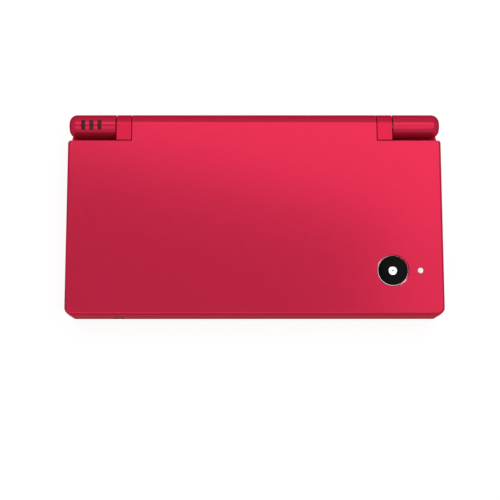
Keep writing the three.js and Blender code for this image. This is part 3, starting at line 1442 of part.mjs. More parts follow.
// The base
addPiece("base_top_shell", baseTopShell(), crimson);
addPiece("base_bottom_shell", baseBottomShell(), crimson);
addPiece("battery_cover", batteryCover(), crimson);
coverScrewPlaces().forEach((place, index) => {
  addPiece(["battery_cover_screw_right", "battery_cover_screw_left"][index], coverScrew(place), steel);
});
caseScrewPlaces().forEach((place, index) => {
  addPiece(["case_screw_right", "case_screw_left"][index], caseScrew(place), steel);
});
for (const [name, place] of Object.entries(footPlaces())) addPiece(name, foot(place), rubber);
addPiece("battery", battery(), batteryGrey);
addPiece("main_board", mainBoard(), boardGreen);
addPiece("card_socket", cardSocket(), blackPlastic);
addPiece("memory_card_socket", memoryCardSocket(), steel);
addPiece("memory_card_door", memoryCardDoor(), crimson);
addPiece("charging_socket", chargingSocket(), steel);
addPiece("headphone_jack", headphoneJack(), blackPlastic);
const lowerDisplayZ = [displayBottom, displayTop];
const lowerDisplay = plate(lowerDisplayX, lowerDisplayY, lowerDisplayZ, SCREEN_OPENING_CORNER);
addPiece("lower_display", lowerDisplay, displayGrey);
const touchPanel = plate(touchPanelX, touchPanelY, [panelBottom, panelTop], SCREEN_OPENING_CORNER);
addPiece("touch_panel", touchPanel, blackGlass);
addPiece("indicator_light_guide", indicatorLightGuide(), smokedPlastic);
addPiece("hinge_cartridge", hingeCartridge(), steel);
addPiece("board_flex", boardFlex(), amber);

// The keys and their membranes
const smallKeys = smallKeyPlaces();
addPiece("face_button_membrane", membraneFor(Object.values(facePlaces())), keyRubber);
addPiece(
  "start_select_membrane",
  membraneFor([smallKeys.start_button, smallKeys.select_button]),
  keyRubber,
);
addPiece("power_button_membrane", membraneFor([smallKeys.power_button]), keyRubber);
addPiece("direction_pad_membrane", directionPadMembrane(), keyRubber);
addPiece("direction_pad", directionPad(), crimsonKey);
for (const [name, place] of Object.entries(facePlaces())) {
  addPiece(name, roundKey(place, FACE_KEY_RADIUS), crimsonKey);
}
for (const [name, place] of Object.entries(smallKeys)) {
  addPiece(name, roundKey(place, SMALL_KEY_RADIUS), crimsonKey);
}
for (const [name, y] of Object.entries(volumePlaces())) addPiece(name, volumeButton(y), crimsonKey);
addPiece("shoulder_button_right", shoulderButton(1), crimson);
addPiece("shoulder_button_left", shoulderButton(-1), crimson);
addPiece("shoulder_pin_right", shoulderPin(1), steel);
addPiece("shoulder_pin_left", shoulderPin(-1), steel);
addPiece("stylus", stylus(), crimsonKey);

// The lid
addPiece("lid_outer_shell", lidOuterShell(), crimson);
addPiece("lid_inner_shell", lidInnerShell(), crimson);
const upperDisplay = plate(upperDisplayX, upperDisplayY, upperDisplayZ(), SCREEN_OPENING_CORNER);
addPiece("upper_display", upperDisplay, displayGrey);
const windowZ = [lidBottom, lidBottom + WINDOW_THICKNESS];
addPiece("upper_screen_window", plate(windowX, windowY, windowZ, WINDOW_CORNER), blackGlass);
addPiece("speaker_right", speaker(1), blackPlastic);
addPiece("speaker_left", speaker(-1), blackPlastic);
addPiece("outer_camera_ring", cameraRing(), chrome);
addPiece("outer_camera_window", cameraWindow(), blackGlass);
addPiece("outer_camera_module", outerCameraModule(), blackPlastic);
addPiece("outer_camera_lamp", outerCameraLamp(), milkyPlastic);
addPiece("inner_camera_module", innerCameraModule(), blackPlastic);
addPiece("hinge_shaft", hingeShaft(), steel);
addPiece("left_hinge_sleeve", leftHingeSleeve(), crimson);
addPiece("display_flex", displayFlex(), amber);
for (const [name, place] of Object.entries(bumperPlaces())) addPiece(name, bumper(place), rubber);

export default handheld;
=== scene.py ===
"""Looks of a closed clamshell handheld game console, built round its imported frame."""

import json
from math import cos, pi, radians, sin

import bpy
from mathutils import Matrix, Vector


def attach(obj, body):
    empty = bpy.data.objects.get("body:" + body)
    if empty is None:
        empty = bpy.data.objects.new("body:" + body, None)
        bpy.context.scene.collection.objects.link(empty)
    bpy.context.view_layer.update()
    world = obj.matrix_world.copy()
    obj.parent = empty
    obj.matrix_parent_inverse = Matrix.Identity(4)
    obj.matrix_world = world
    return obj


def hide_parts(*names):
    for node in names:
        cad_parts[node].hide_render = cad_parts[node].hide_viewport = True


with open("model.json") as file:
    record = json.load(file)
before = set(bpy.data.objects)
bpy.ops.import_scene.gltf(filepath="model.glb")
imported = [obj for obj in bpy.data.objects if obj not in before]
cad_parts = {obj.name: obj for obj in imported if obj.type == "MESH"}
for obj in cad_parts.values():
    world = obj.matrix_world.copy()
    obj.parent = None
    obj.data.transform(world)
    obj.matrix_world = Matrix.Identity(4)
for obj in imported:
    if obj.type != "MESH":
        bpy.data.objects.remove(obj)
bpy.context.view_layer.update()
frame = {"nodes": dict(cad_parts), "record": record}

# Modelling is in millimetres and Blender holds metres.
MM = 0.001

# Places that the shells and the small pieces share, as the frame has them. A pair named X or Y
# is a reach from low to high, HINGE is the axis's y and height, and corners are front and rear.
HINGE = (33.2, 14.65)
LID_X, LID_Y = (-68.5, 68.5), (-37.45, 26.95)
LID_CORNERS, BASE_CORNERS = (2.7, 1.2), (2.2, 9)
LID_LOW, LID_SPLIT, LID_TOP = 10.9, 12.9, 18.9
LID_CEILING, LID_FACE = 17.6, 12.1
LID_WALL, LID_MIDDLE = 1.3, 44.95
BACK_X, BACK_Y = (LID_WALL - LID_MIDDLE, LID_MIDDLE - LID_WALL), (LID_Y[1] - 2.3, HINGE[0])
BACK_HOLLOW = 2.95
BASE_X, BASE_Y = (-68.2, 68.2), (-37.15, 37.15)
BASE_LOW, BASE_SPLIT, DECK_UNDER, DECK = 0.5, 7.0, 9.2, 10.5
BASE_WALL, BASE_HOLLOW_CORNERS = 1.4, (1.5, 7.6)
KNUCKLE_X = (45.2, 50.75)
BARREL, BARREL_X, BARREL_ROUND = 4.25, (51.05, 68.4), 2.9
SLEEVE, SLEEVE_X = 2.8, (-51.75, -42.65)
CAMERA, LAMP = (50.0, -21.4), (60.0, -21.4)
PAD = (-52.0, 6.0)
KEY_TOP, KEY_LOW, FLANGE_TOP = 11.4, 8.5, 9.1
FACE_KEY, SMALL_KEY, KEY_GAP = 3.7, 2.0, 0.3
SCREW_HEAD, SCREW_SHANK = 1.5, 0.8
HEAD_WAY, SHANK_WAY = 1.7, 0.9
STYLUS = (-33.25, 4.2)
WINDOW_Y, WINDOW_LOW = (31.2, 34.55), 16.4
SEAM_EDGE = 0.12
# Heights that a cutter runs past the face that it opens
UNDER_LID, PAST_DECK, UNDER_TRAY = LID_LOW - 1, 11.5, -0.5
# Places past the outer walls where a cutter ends
PAST_SIDE, PAST_REAR = 69.5, 38.5
FACE_KEYS = {
    "face_button_right": (59.9, 6.0),
    "face_button_lower": (52.0, -1.9),
    "face_button_upper": (52.0, 13.9),
    "face_button_left": (44.1, 6.0),
}
SMALL_KEYS = {
    "start_button": (48.2, -14.8),
    "select_button": (48.2, -22.3),
    "power_button": (-52.0, -24.0),
}
FEET = {
    "foot_front_right": (57.5, -28.5),
    "foot_front_left": (-57.5, -28.5),
    "foot_rear_right": (57.5, 21.5),
    "foot_rear_left": (-57.5, 21.5),
}
BUMPERS = {
    "bumper_front_right": (58.0, -35.05),
    "bumper_front_left": (-58.0, -35.05),
    "bumper_rear_right": (58.0, 24.55),
    "bumper_rear_left": (-58.0, 24.55),
}
CASE_SCREWS = {"case_screw_right": (63.4, -26.5), "case_screw_left": (-63.4, -26.5)}
COVER_SCREWS = {
    "battery_cover_screw_right": (19.7, -15.05),
    "battery_cover_screw_left": (-35.7, -15.05),
}
VOLUME_KEYS = {"volume_up_button": -3.8, "volume_down_button": -12.2}
LAMP_MIDDLE, LAMP_PITCH = -60.0, 3

body_of_node = {
    node: body
    for body, nodes in frame["record"]["behaviour"]["bodies"].items()
    for node in nodes
}


# Ways of working


def take(piece):
    """Leaves one piece picked and no other."""
    if bpy.context.mode != "OBJECT":
        bpy.ops.object.mode_set(mode="OBJECT")
    bpy.ops.object.select_all(action="DESELECT")
    piece.select_set(True)
    bpy.context.view_layer.objects.active = piece
    return piece


def started(name):
    """Names the primitive just added and settles its place into its mesh."""
    piece = bpy.context.object
    piece.name = piece.data.name = name
    bpy.ops.object.transform_apply(location=True, rotation=True, scale=True)
    return piece


def block(name, x, y, z):
    bpy.ops.object.select_all(action="DESELECT")
    bpy.ops.mesh.primitive_cube_add(
        size=1,
        location=[(low + high) / 2 * MM for low, high in (x, y, z)],
        scale=[(high - low) * MM for low, high in (x, y, z)],
    )
    return started(name)


def rod(name, along, radius, reach, centre, sides=64):
    """A cylinder along one axis, centred at its two other coordinates."""
    turns = {"X": (0, pi / 2, 0), "Y": (pi / 2, 0, 0), "Z": (0, 0, 0)}
    place = list(centre)
    place.insert("XYZ".index(along), (reach[0] + reach[1]) / 2)
    bpy.ops.object.select_all(action="DESELECT")
    bpy.ops.mesh.primitive_cylinder_add(
        vertices=sides,
        radius=radius * MM,
        depth=(reach[1] - reach[0]) * MM,
        location=[value * MM for value in place],
        rotation=turns[along],
    )
    return started(name)


def pick(piece, kind, wanted):
    """Goes into edit mode with only the wanted edges or faces picked, judged in millimetres."""
    take(piece)
    bpy.ops.object.mode_set(mode="EDIT")
    bpy.ops.mesh.select_mode(type=kind)
    bpy.ops.mesh.select_all(action="DESELECT")
    bpy.ops.object.mode_set(mode="OBJECT")
    points = [vertex.co / MM for vertex in piece.data.vertices]
    if kind == "EDGE":
        for edge in piece.data.edges:
            edge.select = wanted(*(points[index] for index in edge.vertices))
    else:
        for face in piece.data.polygons:
            face.select = wanted(face.center / MM, face.normal)
    bpy.ops.object.mode_set(mode="EDIT")


def round_edges(piece, wanted, width, segments=6):
    pick(piece, "EDGE", wanted)
    bpy.ops.mesh.bevel(offset=width * MM, segments=segments, affect="EDGES", clamp_overlap=False)
    bpy.ops.object.mode_set(mode="OBJECT")


def shrunk(reach, wall):
    """A reach less a wall at both ends."""
    return (reach[0] + wall, reach[1] - wall)


def about(middle, half):
    """A reach to both sides of a middle."""
    return (middle - half, middle + half)


def at(value, goal):
    return abs(value - goal) < 1e-3


def upright(a, b):
    return abs(a.z - b.z) > 1e-3 and (a - b).xy.length < 1e-3


def level(height):
    return lambda a, b: at(a.z, height) and at(b.z, height)


def slab(name, x, y, z, corners, top=0.0, bottom=0.0, steps=10):
    """A block with its front and rear corners rounded, then its edges above and below."""
    piece = block(name, x, y, z)
    middle = (y[0] + y[1]) / 2
    front, rear = corners
    if front:
        round_edges(piece, lambda a, b: upright(a, b) and a.y < middle, front, steps)
    if rear:
        round_edges(piece, lambda a, b: upright(a, b) and a.y > middle, rear, steps)
    if top:
        round_edges(piece, level(z[1]), top, max(2, min(8, int(top * 8))))
    if bottom:
        round_edges(piece, level(z[0]), bottom, max(2, min(8, int(bottom * 8))))
    return piece


def in_order(middle):
    """Sorts what is picked by its distance from a point off every middle plane of the piece,
    because a spin and an extrude leave faces and edges in a chance order."""
    bpy.context.scene.cursor.location = middle + Vector((1.37, 0.83, 0.59)) * MM
    bpy.ops.mesh.sort_elements(type="CURSOR_DISTANCE", elements={"VERT", "EDGE", "FACE"})


def turned(name, profile, centre, along="Z", sides=64):
    """A chain of points drawn out from one vertex and spun round a line through the centre."""

    def place(radius, height):
        points = {
            "Z": (centre[0] + radius, centre[1], height),
            "X": (height, centre[0] + radius, centre[1]),
            "Y": (centre[0] + radius, height, centre[1]),
        }
        return Vector(points[along]) * MM

    bpy.ops.object.select_all(action="DESELECT")
    bpy.ops.mesh.primitive_plane_add(size=MM, location=place(*profile[0]))
    piece = started(name)
    bpy.ops.object.mode_set(mode="EDIT")
    bpy.ops.mesh.select_mode(type="VERT")
    bpy.ops.mesh.merge(type="CENTER")
    for here, there in zip(profile, profile[1:]):
        step = place(*there) - place(*here)
        bpy.ops.mesh.extrude_vertices_move(TRANSFORM_OT_translate={"value": step})
    bpy.ops.mesh.select_all(action="SELECT")
    middle = place(0, 0)
    line = {"Z": (0, 0, 1), "X": (1, 0, 0), "Y": (0, 1, 0)}[along]
    bpy.ops.mesh.spin(steps=sides, angle=2 * pi, center=middle, axis=line)
    bpy.ops.mesh.select_all(action="SELECT")
    bpy.ops.mesh.remove_doubles(threshold=1e-6)
    bpy.ops.mesh.normals_make_consistent(inside=False)
    in_order(place(0, profile[0][1]))
    bpy.ops.object.mode_set(mode="OBJECT")
    return piece


def arc(middle, radius, start, end, steps):
    """Points of a profile along an arc, in degrees from straight out towards up."""
    angles = [radians(start + (end - start) * step / steps) for step in range(steps + 1)]
    return [(middle[0] + radius * cos(a), middle[1] + radius * sin(a)) for a in angles]


def combine(piece, others, operation):
    for other in others:
        take(piece)
        bpy.ops.object.modifier_add(type="BOOLEAN")
        join = piece.modifiers[-1]
        join.operation = operation
        join.solver = "EXACT"
        join.object = other
        bpy.ops.object.modifier_apply(modifier=join.name)
        bpy.data.objects.remove(other)
    return piece


def unite(piece, *others):
    return combine(piece, others, "UNION")


def carve(piece, *cutters):
    return combine(piece, cutters, "DIFFERENCE")


def keep_above(piece, height, above=True):
    """Cuts a piece across at a height and closes it."""
    take(piece)
    bpy.ops.object.mode_set(mode="EDIT")
    bpy.ops.mesh.select_all(action="SELECT")
    bpy.ops.mesh.bisect(
        plane_co=(0, 0, height * MM),
        plane_no=(0, 0, 1),
        use_fill=True,
        clear_inner=above,
        clear_outer=not above,
    )
    bpy.ops.object.mode_set(mode="OBJECT")
    return piece


def copied(piece, name, across=0.0, along=0.0, up=0.0, mirrored=False):
    """A copy with its own mesh, moved over or mirrored to the other side."""
    take(piece)
    bpy.ops.object.duplicate(linked=False)
    twin = bpy.context.object
    twin.name = twin.data.name = name
    bpy.ops.object.mode_set(mode="EDIT")
    bpy.ops.mesh.select_all(action="SELECT")
    if mirrored:
        bpy.ops.transform.resize(value=(-1, 1, 1), center_override=(0, 0, 0))
        bpy.ops.mesh.normals_make_consistent(inside=False)
    bpy.ops.transform.translate(value=(across * MM, along * MM, up * MM))
    bpy.ops.object.mode_set(mode="OBJECT")
    return twin


def both_sides(make):
    """Makes a cutter for the right side and its mirror image for the left."""
    right = make()
    return [right, copied(right, right.name + "_left", mirrored=True)]


def smooth(piece, angle=35):
    take(piece)
    bpy.ops.object.mode_set(mode="EDIT")
    bpy.ops.mesh.select_all(action="SELECT")
    bpy.ops.mesh.remove_doubles(threshold=2e-6)
    bpy.ops.object.mode_set(mode="OBJECT")
    bpy.ops.object.shade_smooth_by_angle(angle=radians(angle))
    bpy.ops.object.modifier_add(type="WEIGHTED_NORMAL")
    piece.modifiers[-1].keep_sharp = True
    bpy.ops.object.modifier_apply(modifier=piece.modifiers[-1].name)


def done(piece, material, slot, *nodes, body=None, angle=35):
    """Smooths a piece, finishes it and sets it in the frame for the nodes that it stands for."""
    smooth(piece, angle)
    piece.data.materials.clear()
    piece.data.materials.append(material)
    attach(piece, body or body_of_node[nodes[0]])
    if nodes:
        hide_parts(*nodes)
    return piece


# Finishes


class Finish:
    """A shader whose tone, gloss and grain come from noise in the object's own coordinates."""

    def __init__(self, name, **sockets):
        self.material = bpy.data.materials.new(name)
        self.material.use_nodes = True
        self.tree = self.material.node_tree
        self.shader = self.tree.nodes["Principled BSDF"]
        for socket, value in sockets.items():
            self.shader.inputs[socket.replace("_", " ")].default_value = value
        self.places = self.node("ShaderNodeTexCoord").outputs["Object"]

    def node(self, kind, **settings):
        made = self.tree.nodes.new(kind)
        for name, value in settings.items():
            setattr(made, name, value)
        return made

    def link(self, output, entry):
        self.tree.links.new(output, entry)
        return self

    def noise(self, size, detail=2.0, stretch=(1, 1, 1)):
        """Noise whose lumps are about as many millimetres across as size."""
        spread = self.node("ShaderNodeMapping")
        spread.inputs["Scale"].default_value = [1 / (size * MM * part) for part in stretch]
        self.link(self.places, spread.inputs["Vector"])
        made = self.node("ShaderNodeTexNoise")
        made.inputs["Scale"].default_value = 1.0
        made.inputs["Detail"].default_value = detail
        self.link(spread.outputs["Vector"], made.inputs["Vector"])
        return made.outputs["Fac"]

    def between(self, factor, dark, light, low=0.3, high=0.7):
        """A colour from dark to light as the factor goes from low to high."""
        ramp = self.node("ShaderNodeValToRGB")
        ends = ramp.color_ramp.elements
        ends[0].position, ends[1].position = low, high
        ends[0].color, ends[1].color = (*dark, 1), (*light, 1)
        self.link(factor, ramp.inputs["Fac"])
        return ramp.outputs["Color"]

    def graded(self, factor, low, high, start=0.3, end=0.7):
        """A number from low to high as the factor goes from start to end."""
        spread = self.node("ShaderNodeMapRange")
        reach = {"From Min": start, "From Max": end, "To Min": low, "To Max": high}
        for entry, value in reach.items():
            spread.inputs[entry].default_value = value
        self.link(factor, spread.inputs["Value"])
        return spread.outputs["Result"]

    def tone(self, dark, light, size, detail=2.0):
        colour = self.between(self.noise(size, detail), dark, light)
        self.link(colour, self.shader.inputs["Base Color"])
        return self

    def gloss(self, low, high, size, detail=2.0):
        amount = self.graded(self.noise(size, detail), low, high)
        self.link(amount, self.shader.inputs["Roughness"])
        return self

    def grain(self, size, depth, detail=1.0, stretch=(1, 1, 1)):
        """Relief of about depth millimetres, with lumps of about size."""
        bump = self.node("ShaderNodeBump")
        bump.inputs["Strength"].default_value = 0.6
        bump.inputs["Distance"].default_value = depth * MM
        self.link(self.noise(size, detail, stretch), bump.inputs["Height"])
        self.link(bump.outputs["Normal"], self.shader.inputs["Normal"])
        return self

    def inside(self, x, y, edge=0.15):
        """One inside a rectangle across the piece and nought outside it, with a narrow edge."""
        split = self.node("ShaderNodeSeparateXYZ")
        self.link(self.places, split.inputs["Vector"])
        shares = []
        for output, (low, high) in (("X", x), ("Y", y)):
            middle, reach = (low + high) / 2 * MM, (high - low) / 2 * MM
            away = self.node("ShaderNodeMath", operation="SUBTRACT")
            away.inputs[1].default_value = middle
            self.link(split.outputs[output], away.inputs[0])
            far = self.node("ShaderNodeMath", operation="ABSOLUTE")
            self.link(away.outputs[0], far.inputs[0])
            shares.append(self.graded(far.outputs[0], 1, 0, reach - edge * MM, reach))
        both = self.node("ShaderNodeMath", operation="MULTIPLY")
        self.link(shares[0], both.inputs[0])
        self.link(shares[1], both.inputs[1])
        return both.outputs[0]


def crimson_paint(name, dark, light, rough, grain):
    """Satin casing paint with a fine pearl in its depth."""
    paint = Finish(
        name,
        Metallic=0.38,
        Specular_IOR_Level=0.0,
        # The deep red edge tint keeps grazing reflections on the side walls dark crimson instead of
        # white: painted shade on the sides.
        Specular_Tint=(0.8, 0.01, 0.05, 1),
        Coat_Weight=0.02,
        Coat_Roughness=0.24,
    )
    paint.tone(dark, light, 0.12).gloss(rough - 0.015, rough + 0.015, 3).grain(0.22, grain)
    return paint.material


casing = crimson_paint(
    "casing_crimson", (0.55, 0.018, 0.057), (0.63, 0.026, 0.072), rough=0.185, grain=0.003
)
inner_casing = crimson_paint(
    "inner_crimson", (0.57, 0.014, 0.052), (0.65, 0.02, 0.065), rough=0.3, grain=0.0015
)

key_plastic = Finish(
    "key_crimson", Metallic=0.1, Specular_IOR_Level=0.12, Specular_Tint=(1.0, 0.2, 0.3, 1)
)
key_plastic.tone((0.56, 0.012, 0.05), (0.62, 0.016, 0.06), 1.5)
key_plastic.gloss(0.26, 0.34, 2).grain(0.3, 0.002)

steel = Finish("plated_steel", Metallic=1.0, Anisotropic=0.3)
steel.tone((0.42, 0.42, 0.43), (0.56, 0.56, 0.57), 0.8)
steel.gloss(0.24, 0.36, 0.6).grain(0.2, 0.004, 2, (1, 6, 1))

chrome = Finish("bright_chrome", Metallic=1.0)
chrome.tone((0.86, 0.87, 0.88), (0.93, 0.93, 0.94), 1).gloss(0.05, 0.1, 1).grain(0.5, 0.001)

rubber = Finish("grey_rubber", Specular_IOR_Level=0.3)
rubber.tone((0.018, 0.018, 0.019), (0.032, 0.032, 0.034), 0.4).gloss(0.7, 0.85, 1).grain(0.25, 0.02)

key_rubber = Finish("key_rubber", Specular_IOR_Level=0.3, Subsurface_Weight=0.1)
key_rubber.tone((0.6, 0.58, 0.52), (0.7, 0.68, 0.62), 0.6).gloss(0.6, 0.75, 1).grain(0.3, 0.01)

battery_wrap = Finish("battery_wrap", Specular_IOR_Level=0.4)
battery_wrap.tone((0.4, 0.41, 0.43), (0.48, 0.49, 0.51), 3).gloss(0.38, 0.5, 2).grain(2, 0.02)

black_plastic = Finish("black_plastic", Specular_IOR_Level=0.4)
black_plastic.tone((0.008, 0.008, 0.009), (0.018, 0.018, 0.02), 0.5)
black_plastic.gloss(0.42, 0.6, 1).grain(0.3, 0.01)

smoked = Finish("smoked_window", Specular_IOR_Level=0.1)
smoked.tone((0.06, 0.008, 0.012), (0.13, 0.022, 0.028), 1.6).gloss(0.2, 0.32, 1).grain(0.3, 0.003)

milky = Finish(
    "milky_lamp", Specular_IOR_Level=0.5, Emission_Color=(1, 1, 1, 1), Emission_Strength=0.25
)
milky.tone((0.86, 0.86, 0.84), (0.95, 0.95, 0.93), 0.4).gloss(0.18, 0.3, 0.6).grain(0.2, 0.003)

flex_film = Finish("amber_flex", Specular_IOR_Level=0.5)
flex_film.tone((0.36, 0.13, 0.02), (0.5, 0.2, 0.04), 0.6)
flex_film.gloss(0.28, 0.42, 0.8).grain(0.5, 0.01, 1, (1, 8, 1))

camera_glass = Finish("camera_glass", Specular_IOR_Level=0.04)
camera_glass.tone((0.001, 0.001, 0.0015), (0.003, 0.003, 0.0035), 2)
camera_glass.gloss(0.06, 0.12, 2).grain(1, 0.001)

# The lens is painted near white and shines as metal: a painted reflection, as the real lens is dark
# glass.
lens_painted_reflection = Finish("lens_painted_reflection", Metallic=0.7, Specular_IOR_Level=0.5)
lens_painted_reflection.tone((0.9, 0.9, 0.91), (0.96, 0.96, 0.97), 0.6).gloss(0.12, 0.2, 0.5).grain(0.3, 0.001)

stop_grey = Finish("lens_stop", Specular_IOR_Level=0.5)
stop_grey.tone((0.3, 0.3, 0.31), (0.4, 0.4, 0.41), 0.3).gloss(0.3, 0.4, 0.3).grain(0.2, 0.001)


def screen(name, border, picture, x, y):
    """Dark glass with a slightly paler live area behind it."""
    glass = Finish(name, Specular_IOR_Level=0.22)
    tint = glass.node("ShaderNodeMix", data_type="RGBA")
    glass.link(glass.inside(x, y), tint.inputs["Factor"])
    cloud = glass.between(glass.noise(18, 1.0), picture, tuple(1.35 * part for part in picture))
    rim = glass.between(glass.noise(0.5), border, tuple(1.6 * part for part in border))
    glass.link(rim, tint.inputs["A"]).link(cloud, tint.inputs["B"])
    glass.link(tint.outputs["Result"], glass.shader.inputs["Base Color"])
    return glass.gloss(0.07, 0.13, 6).grain(2.5, 0.001).material


lower_glass = screen(
    "touch_glass", (0.004, 0.004, 0.005), (0.009, 0.01, 0.012), x=(-31, 31), y=(-26.5, 19.7)
)
upper_glass = screen(
    "window_glass", (0.003, 0.003, 0.004), (0.008, 0.009, 0.011), x=(-33, 33), y=(-29.2, 20.4)
)
display_film = screen(
    "display_film", (0.02, 0.021, 0.024), (0.04, 0.043, 0.05), x=(-31, 31), y=(-27, 20)
)


def board_lacquer():
    """Green lacquer over copper tracks that run in steps, with a fine pitch."""
    lacquer = Finish("board_lacquer", Specular_IOR_Level=0.5, Coat_Weight=0.3, Coat_Roughness=0.15)
    tracks = lacquer.node("ShaderNodeTexBrick")
    pitch = {"Scale": 260.0, "Mortar Size": 0.03, "Brick Width": 0.9, "Row Height": 0.22}
    for entry, value in pitch.items():
        tracks.inputs[entry].default_value = value
    tracks.inputs["Color1"].default_value = (0.012, 0.1, 0.045, 1)
    tracks.inputs["Color2"].default_value = (0.016, 0.13, 0.06, 1)
    tracks.inputs["Mortar"].default_value = (0.03, 0.2, 0.09, 1)
    lacquer.link(lacquer.places, tracks.inputs["Vector"])
    lacquer.link(tracks.outputs["Color"], lacquer.shader.inputs["Base Color"])
    return lacquer.gloss(0.3, 0.45, 2).grain(0.6, 0.01).material


board = board_lacquer()


# The lid


def lid_middle(name, end, above):
    """The lid's middle run back over the hinge axis, above or below the split."""
    x = (-end, end)
    z = (LID_SPLIT, LID_TOP) if above else (LID_LOW, LID_SPLIT)
    round_back = keep_above(rod(name + "_round", "X", BARREL, x, HINGE, 96), LID_SPLIT, above)
    return unite(block(name, x, BACK_Y, z), round_back)


def lid_middle_hollow(name):
    """The hollow for the inner camera and the flex."""
    run = block(name, BACK_X, BACK_Y, (LID_FACE, LID_CEILING))
    return unite(run, rod(name + "_round", "X", BACK_HOLLOW, BACK_X, HINGE, 48))


def chamfered_hole(name, radius, centre, top, depth, edge=0.15, drop=0.15, sides=64):
    """A cutter for a round hole whose rim is broken by a small chamfer."""
    foot, past = top - depth, top + 0.2
    wall = [(0, foot), (radius, foot), (radius, top - drop), (radius + edge, top)]
    return turned(name, [*wall, (radius + edge, past), (0, past)], centre, sides=sides)


def make_lid_top():
    z = (LID_SPLIT, LID_TOP)
    shell = slab("lid_top", LID_X, (LID_Y[0], 40), z, LID_CORNERS, top=1.0, bottom=SEAM_EDGE)
    crisp = slab("rear_edge", LID_X, (-45, LID_Y[1]), z, LID_CORNERS, top=0.25, bottom=SEAM_EDGE)
    combine(shell, [crisp], "INTERSECT")
    unite(shell, lid_middle("lid_back", LID_MIDDLE, True))
    inner_x, inner_y = shrunk(LID_X, LID_WALL), shrunk(LID_Y, LID_WALL)
    carve(
        shell,
        slab("lid_hollow", inner_x, inner_y, (LID_SPLIT - 1, LID_CEILING), (1.9, 0.6)),
        lid_middle_hollow("back_hollow"),
        chamfered_hole("camera_hole", 5.8, CAMERA, LID_TOP, 2.5, edge=0.3, sides=128),
        chamfered_hole("lamp_hole", 1.1, LAMP, LID_TOP, 2.5, edge=0.08, drop=0.08, sides=32),
        rod("sleeve_way", "X", SLEEVE, SLEEVE_X, HINGE, 48),
    )
    return done(shell, casing, "casing", "lid_outer_shell")


def make_knuckle():
    """A square block that turns down into a round end over the hinge axis."""
    inner, outer = KNUCKLE_X
    rounding = 0.2
    square = block("knuckle", KNUCKLE_X, (27.2, HINGE[0]), (LID_LOW, LID_TOP))
    top = level(LID_TOP)
    round_edges(square, lambda a, b: at(a.x, b.x) and top(a, b), rounding, 3)
    edge = arc((BARREL - rounding, outer - rounding), rounding, 0, 90, 3)
    back = [(x, inner + outer - y) for x, y in reversed(edge)]
    profile = [(0, inner), *back, *edge, (0, outer)]
    return unite(square, turned("knuckle_end", profile, HINGE, "X", 96))


def speaker_slots(name):
    """Six slots with round ends, copied along from one that is made between them."""
    one = slab(name, (49.8, 58.2), (-3.55, -2.45), (LID_LOW, 14.3), (0.54, 0.54), steps=6)
    slots = [copied(one, name, along=2.6 * row) for row in (-2.5, -1.5, -0.5, 0.5, 1.5, 2.5)]
    bpy.data.objects.remove(one)
    return slots


def make_lid_inner():
    z, wing_z = (LID_LOW, LID_SPLIT), (12.3, 13.3)
    hollow_x, hollow_y = (-38.7, 38.7), shrunk(LID_Y, LID_WALL)
    wing_x, wing_y = (hollow_x[1], 67.1), (-36.05, 25.55)
    recess_x, recess_y = (39.7, 65.9), (-33.05, 22.55)
    recess_z = (UNDER_LID, wing_z[0])
    rim = slab("lid_face", LID_X, LID_Y, z, LID_CORNERS, top=SEAM_EDGE, bottom=0.6)
    carve(rim, block("face_hollow", hollow_x, hollow_y, (LID_FACE, LID_TOP)))
    unite(rim, *both_sides(lambda: slab("wing", wing_x, wing_y, wing_z, (1.9, 1.2))))
    unite(rim, lid_middle("face_back", KNUCKLE_X[1], False))
    unite(rim, *both_sides(make_knuckle))
    carve(rim, slab("picture_way", (-34, 34), (-30.1, 21.3), (UNDER_LID, 13.9), (1.2, 1.2)))
    carve(rim, slab("window_seat", (-37.1, 37.1), (-33, 24.2), (UNDER_LID, 11.8), (1.7, 1.7)))
    carve(
        rim,
        *both_sides(lambda: slab("wing_recess", recess_x, recess_y, recess_z, (3, 3), top=0.4)),
    )
    for slot in speaker_slots("sound_slot"):
        carve(rim, copied(slot, "sound_slot_left", mirrored=True), slot)
    for name, place in BUMPERS.items():
        carve(rim, rod(name + "_seat", "Z", 1.4, (UNDER_LID, 11.4), place, 32))
    camera_z = (9, HINGE[1])
    carve(
        rim,
        rod("back_way", "X", BACK_HOLLOW, BACK_X, HINGE, 48),
        block("back_run", BACK_X, BACK_Y, (LID_FACE, LID_CEILING)),
        rod("inner_camera_hole", "Z", 1.9, camera_z, (0, HINGE[0]), 48),
        rod("sound_hole", "Z", 0.5, camera_z, (-9, HINGE[0]), 24),
        rod("shaft_seat", "X", 1.9, (46.2, 51.75), HINGE, 48),
        rod("flex_way", "X", SLEEVE, SLEEVE_X, HINGE, 48),
    )
    return done(rim, inner_casing, "casing", "lid_inner_shell")


# The base


def make_barrel():
    """A hinge barrel with its neck, closed and rounded at its outer end."""
    inner, outer = BARREL_X
    round_end = arc((BARREL - BARREL_ROUND, outer - BARREL_ROUND), BARREL_ROUND, 0, 90, 14)
    profile = [(0, inner), (BARREL - 0.15, inner), (BARREL, inner + 0.15), *round_end, (0, outer)]
    barrel = turned("barrel", profile, HINGE, "X", 96)
    neck = block("barrel_neck", (inner, outer - BARREL_ROUND), (30, 36.4), (9.85, 12.45))
    round_edges(neck, lambda a, b: upright(a, b) and a.x > inner + 1 and a.y > HINGE[0], 1.5, 6)
    return unite(barrel, neck)


def lamp_slots(name, top, margin=0.0):
    """Three upright slots with rounded corners, one made and two copied beside it."""
    x, y = about(LAMP_MIDDLE, 0.65 + margin), (WINDOW_Y[0] - margin, WINDOW_Y[1] + margin)
    corner = 0.45 + margin
    one = slab(name, x, y, (WINDOW_LOW, top), (corner, corner), steps=6)
    outer = copied(one, name + "_outer", across=-LAMP_PITCH)
    return [outer, one, copied(one, name + "_inner", across=LAMP_PITCH)]


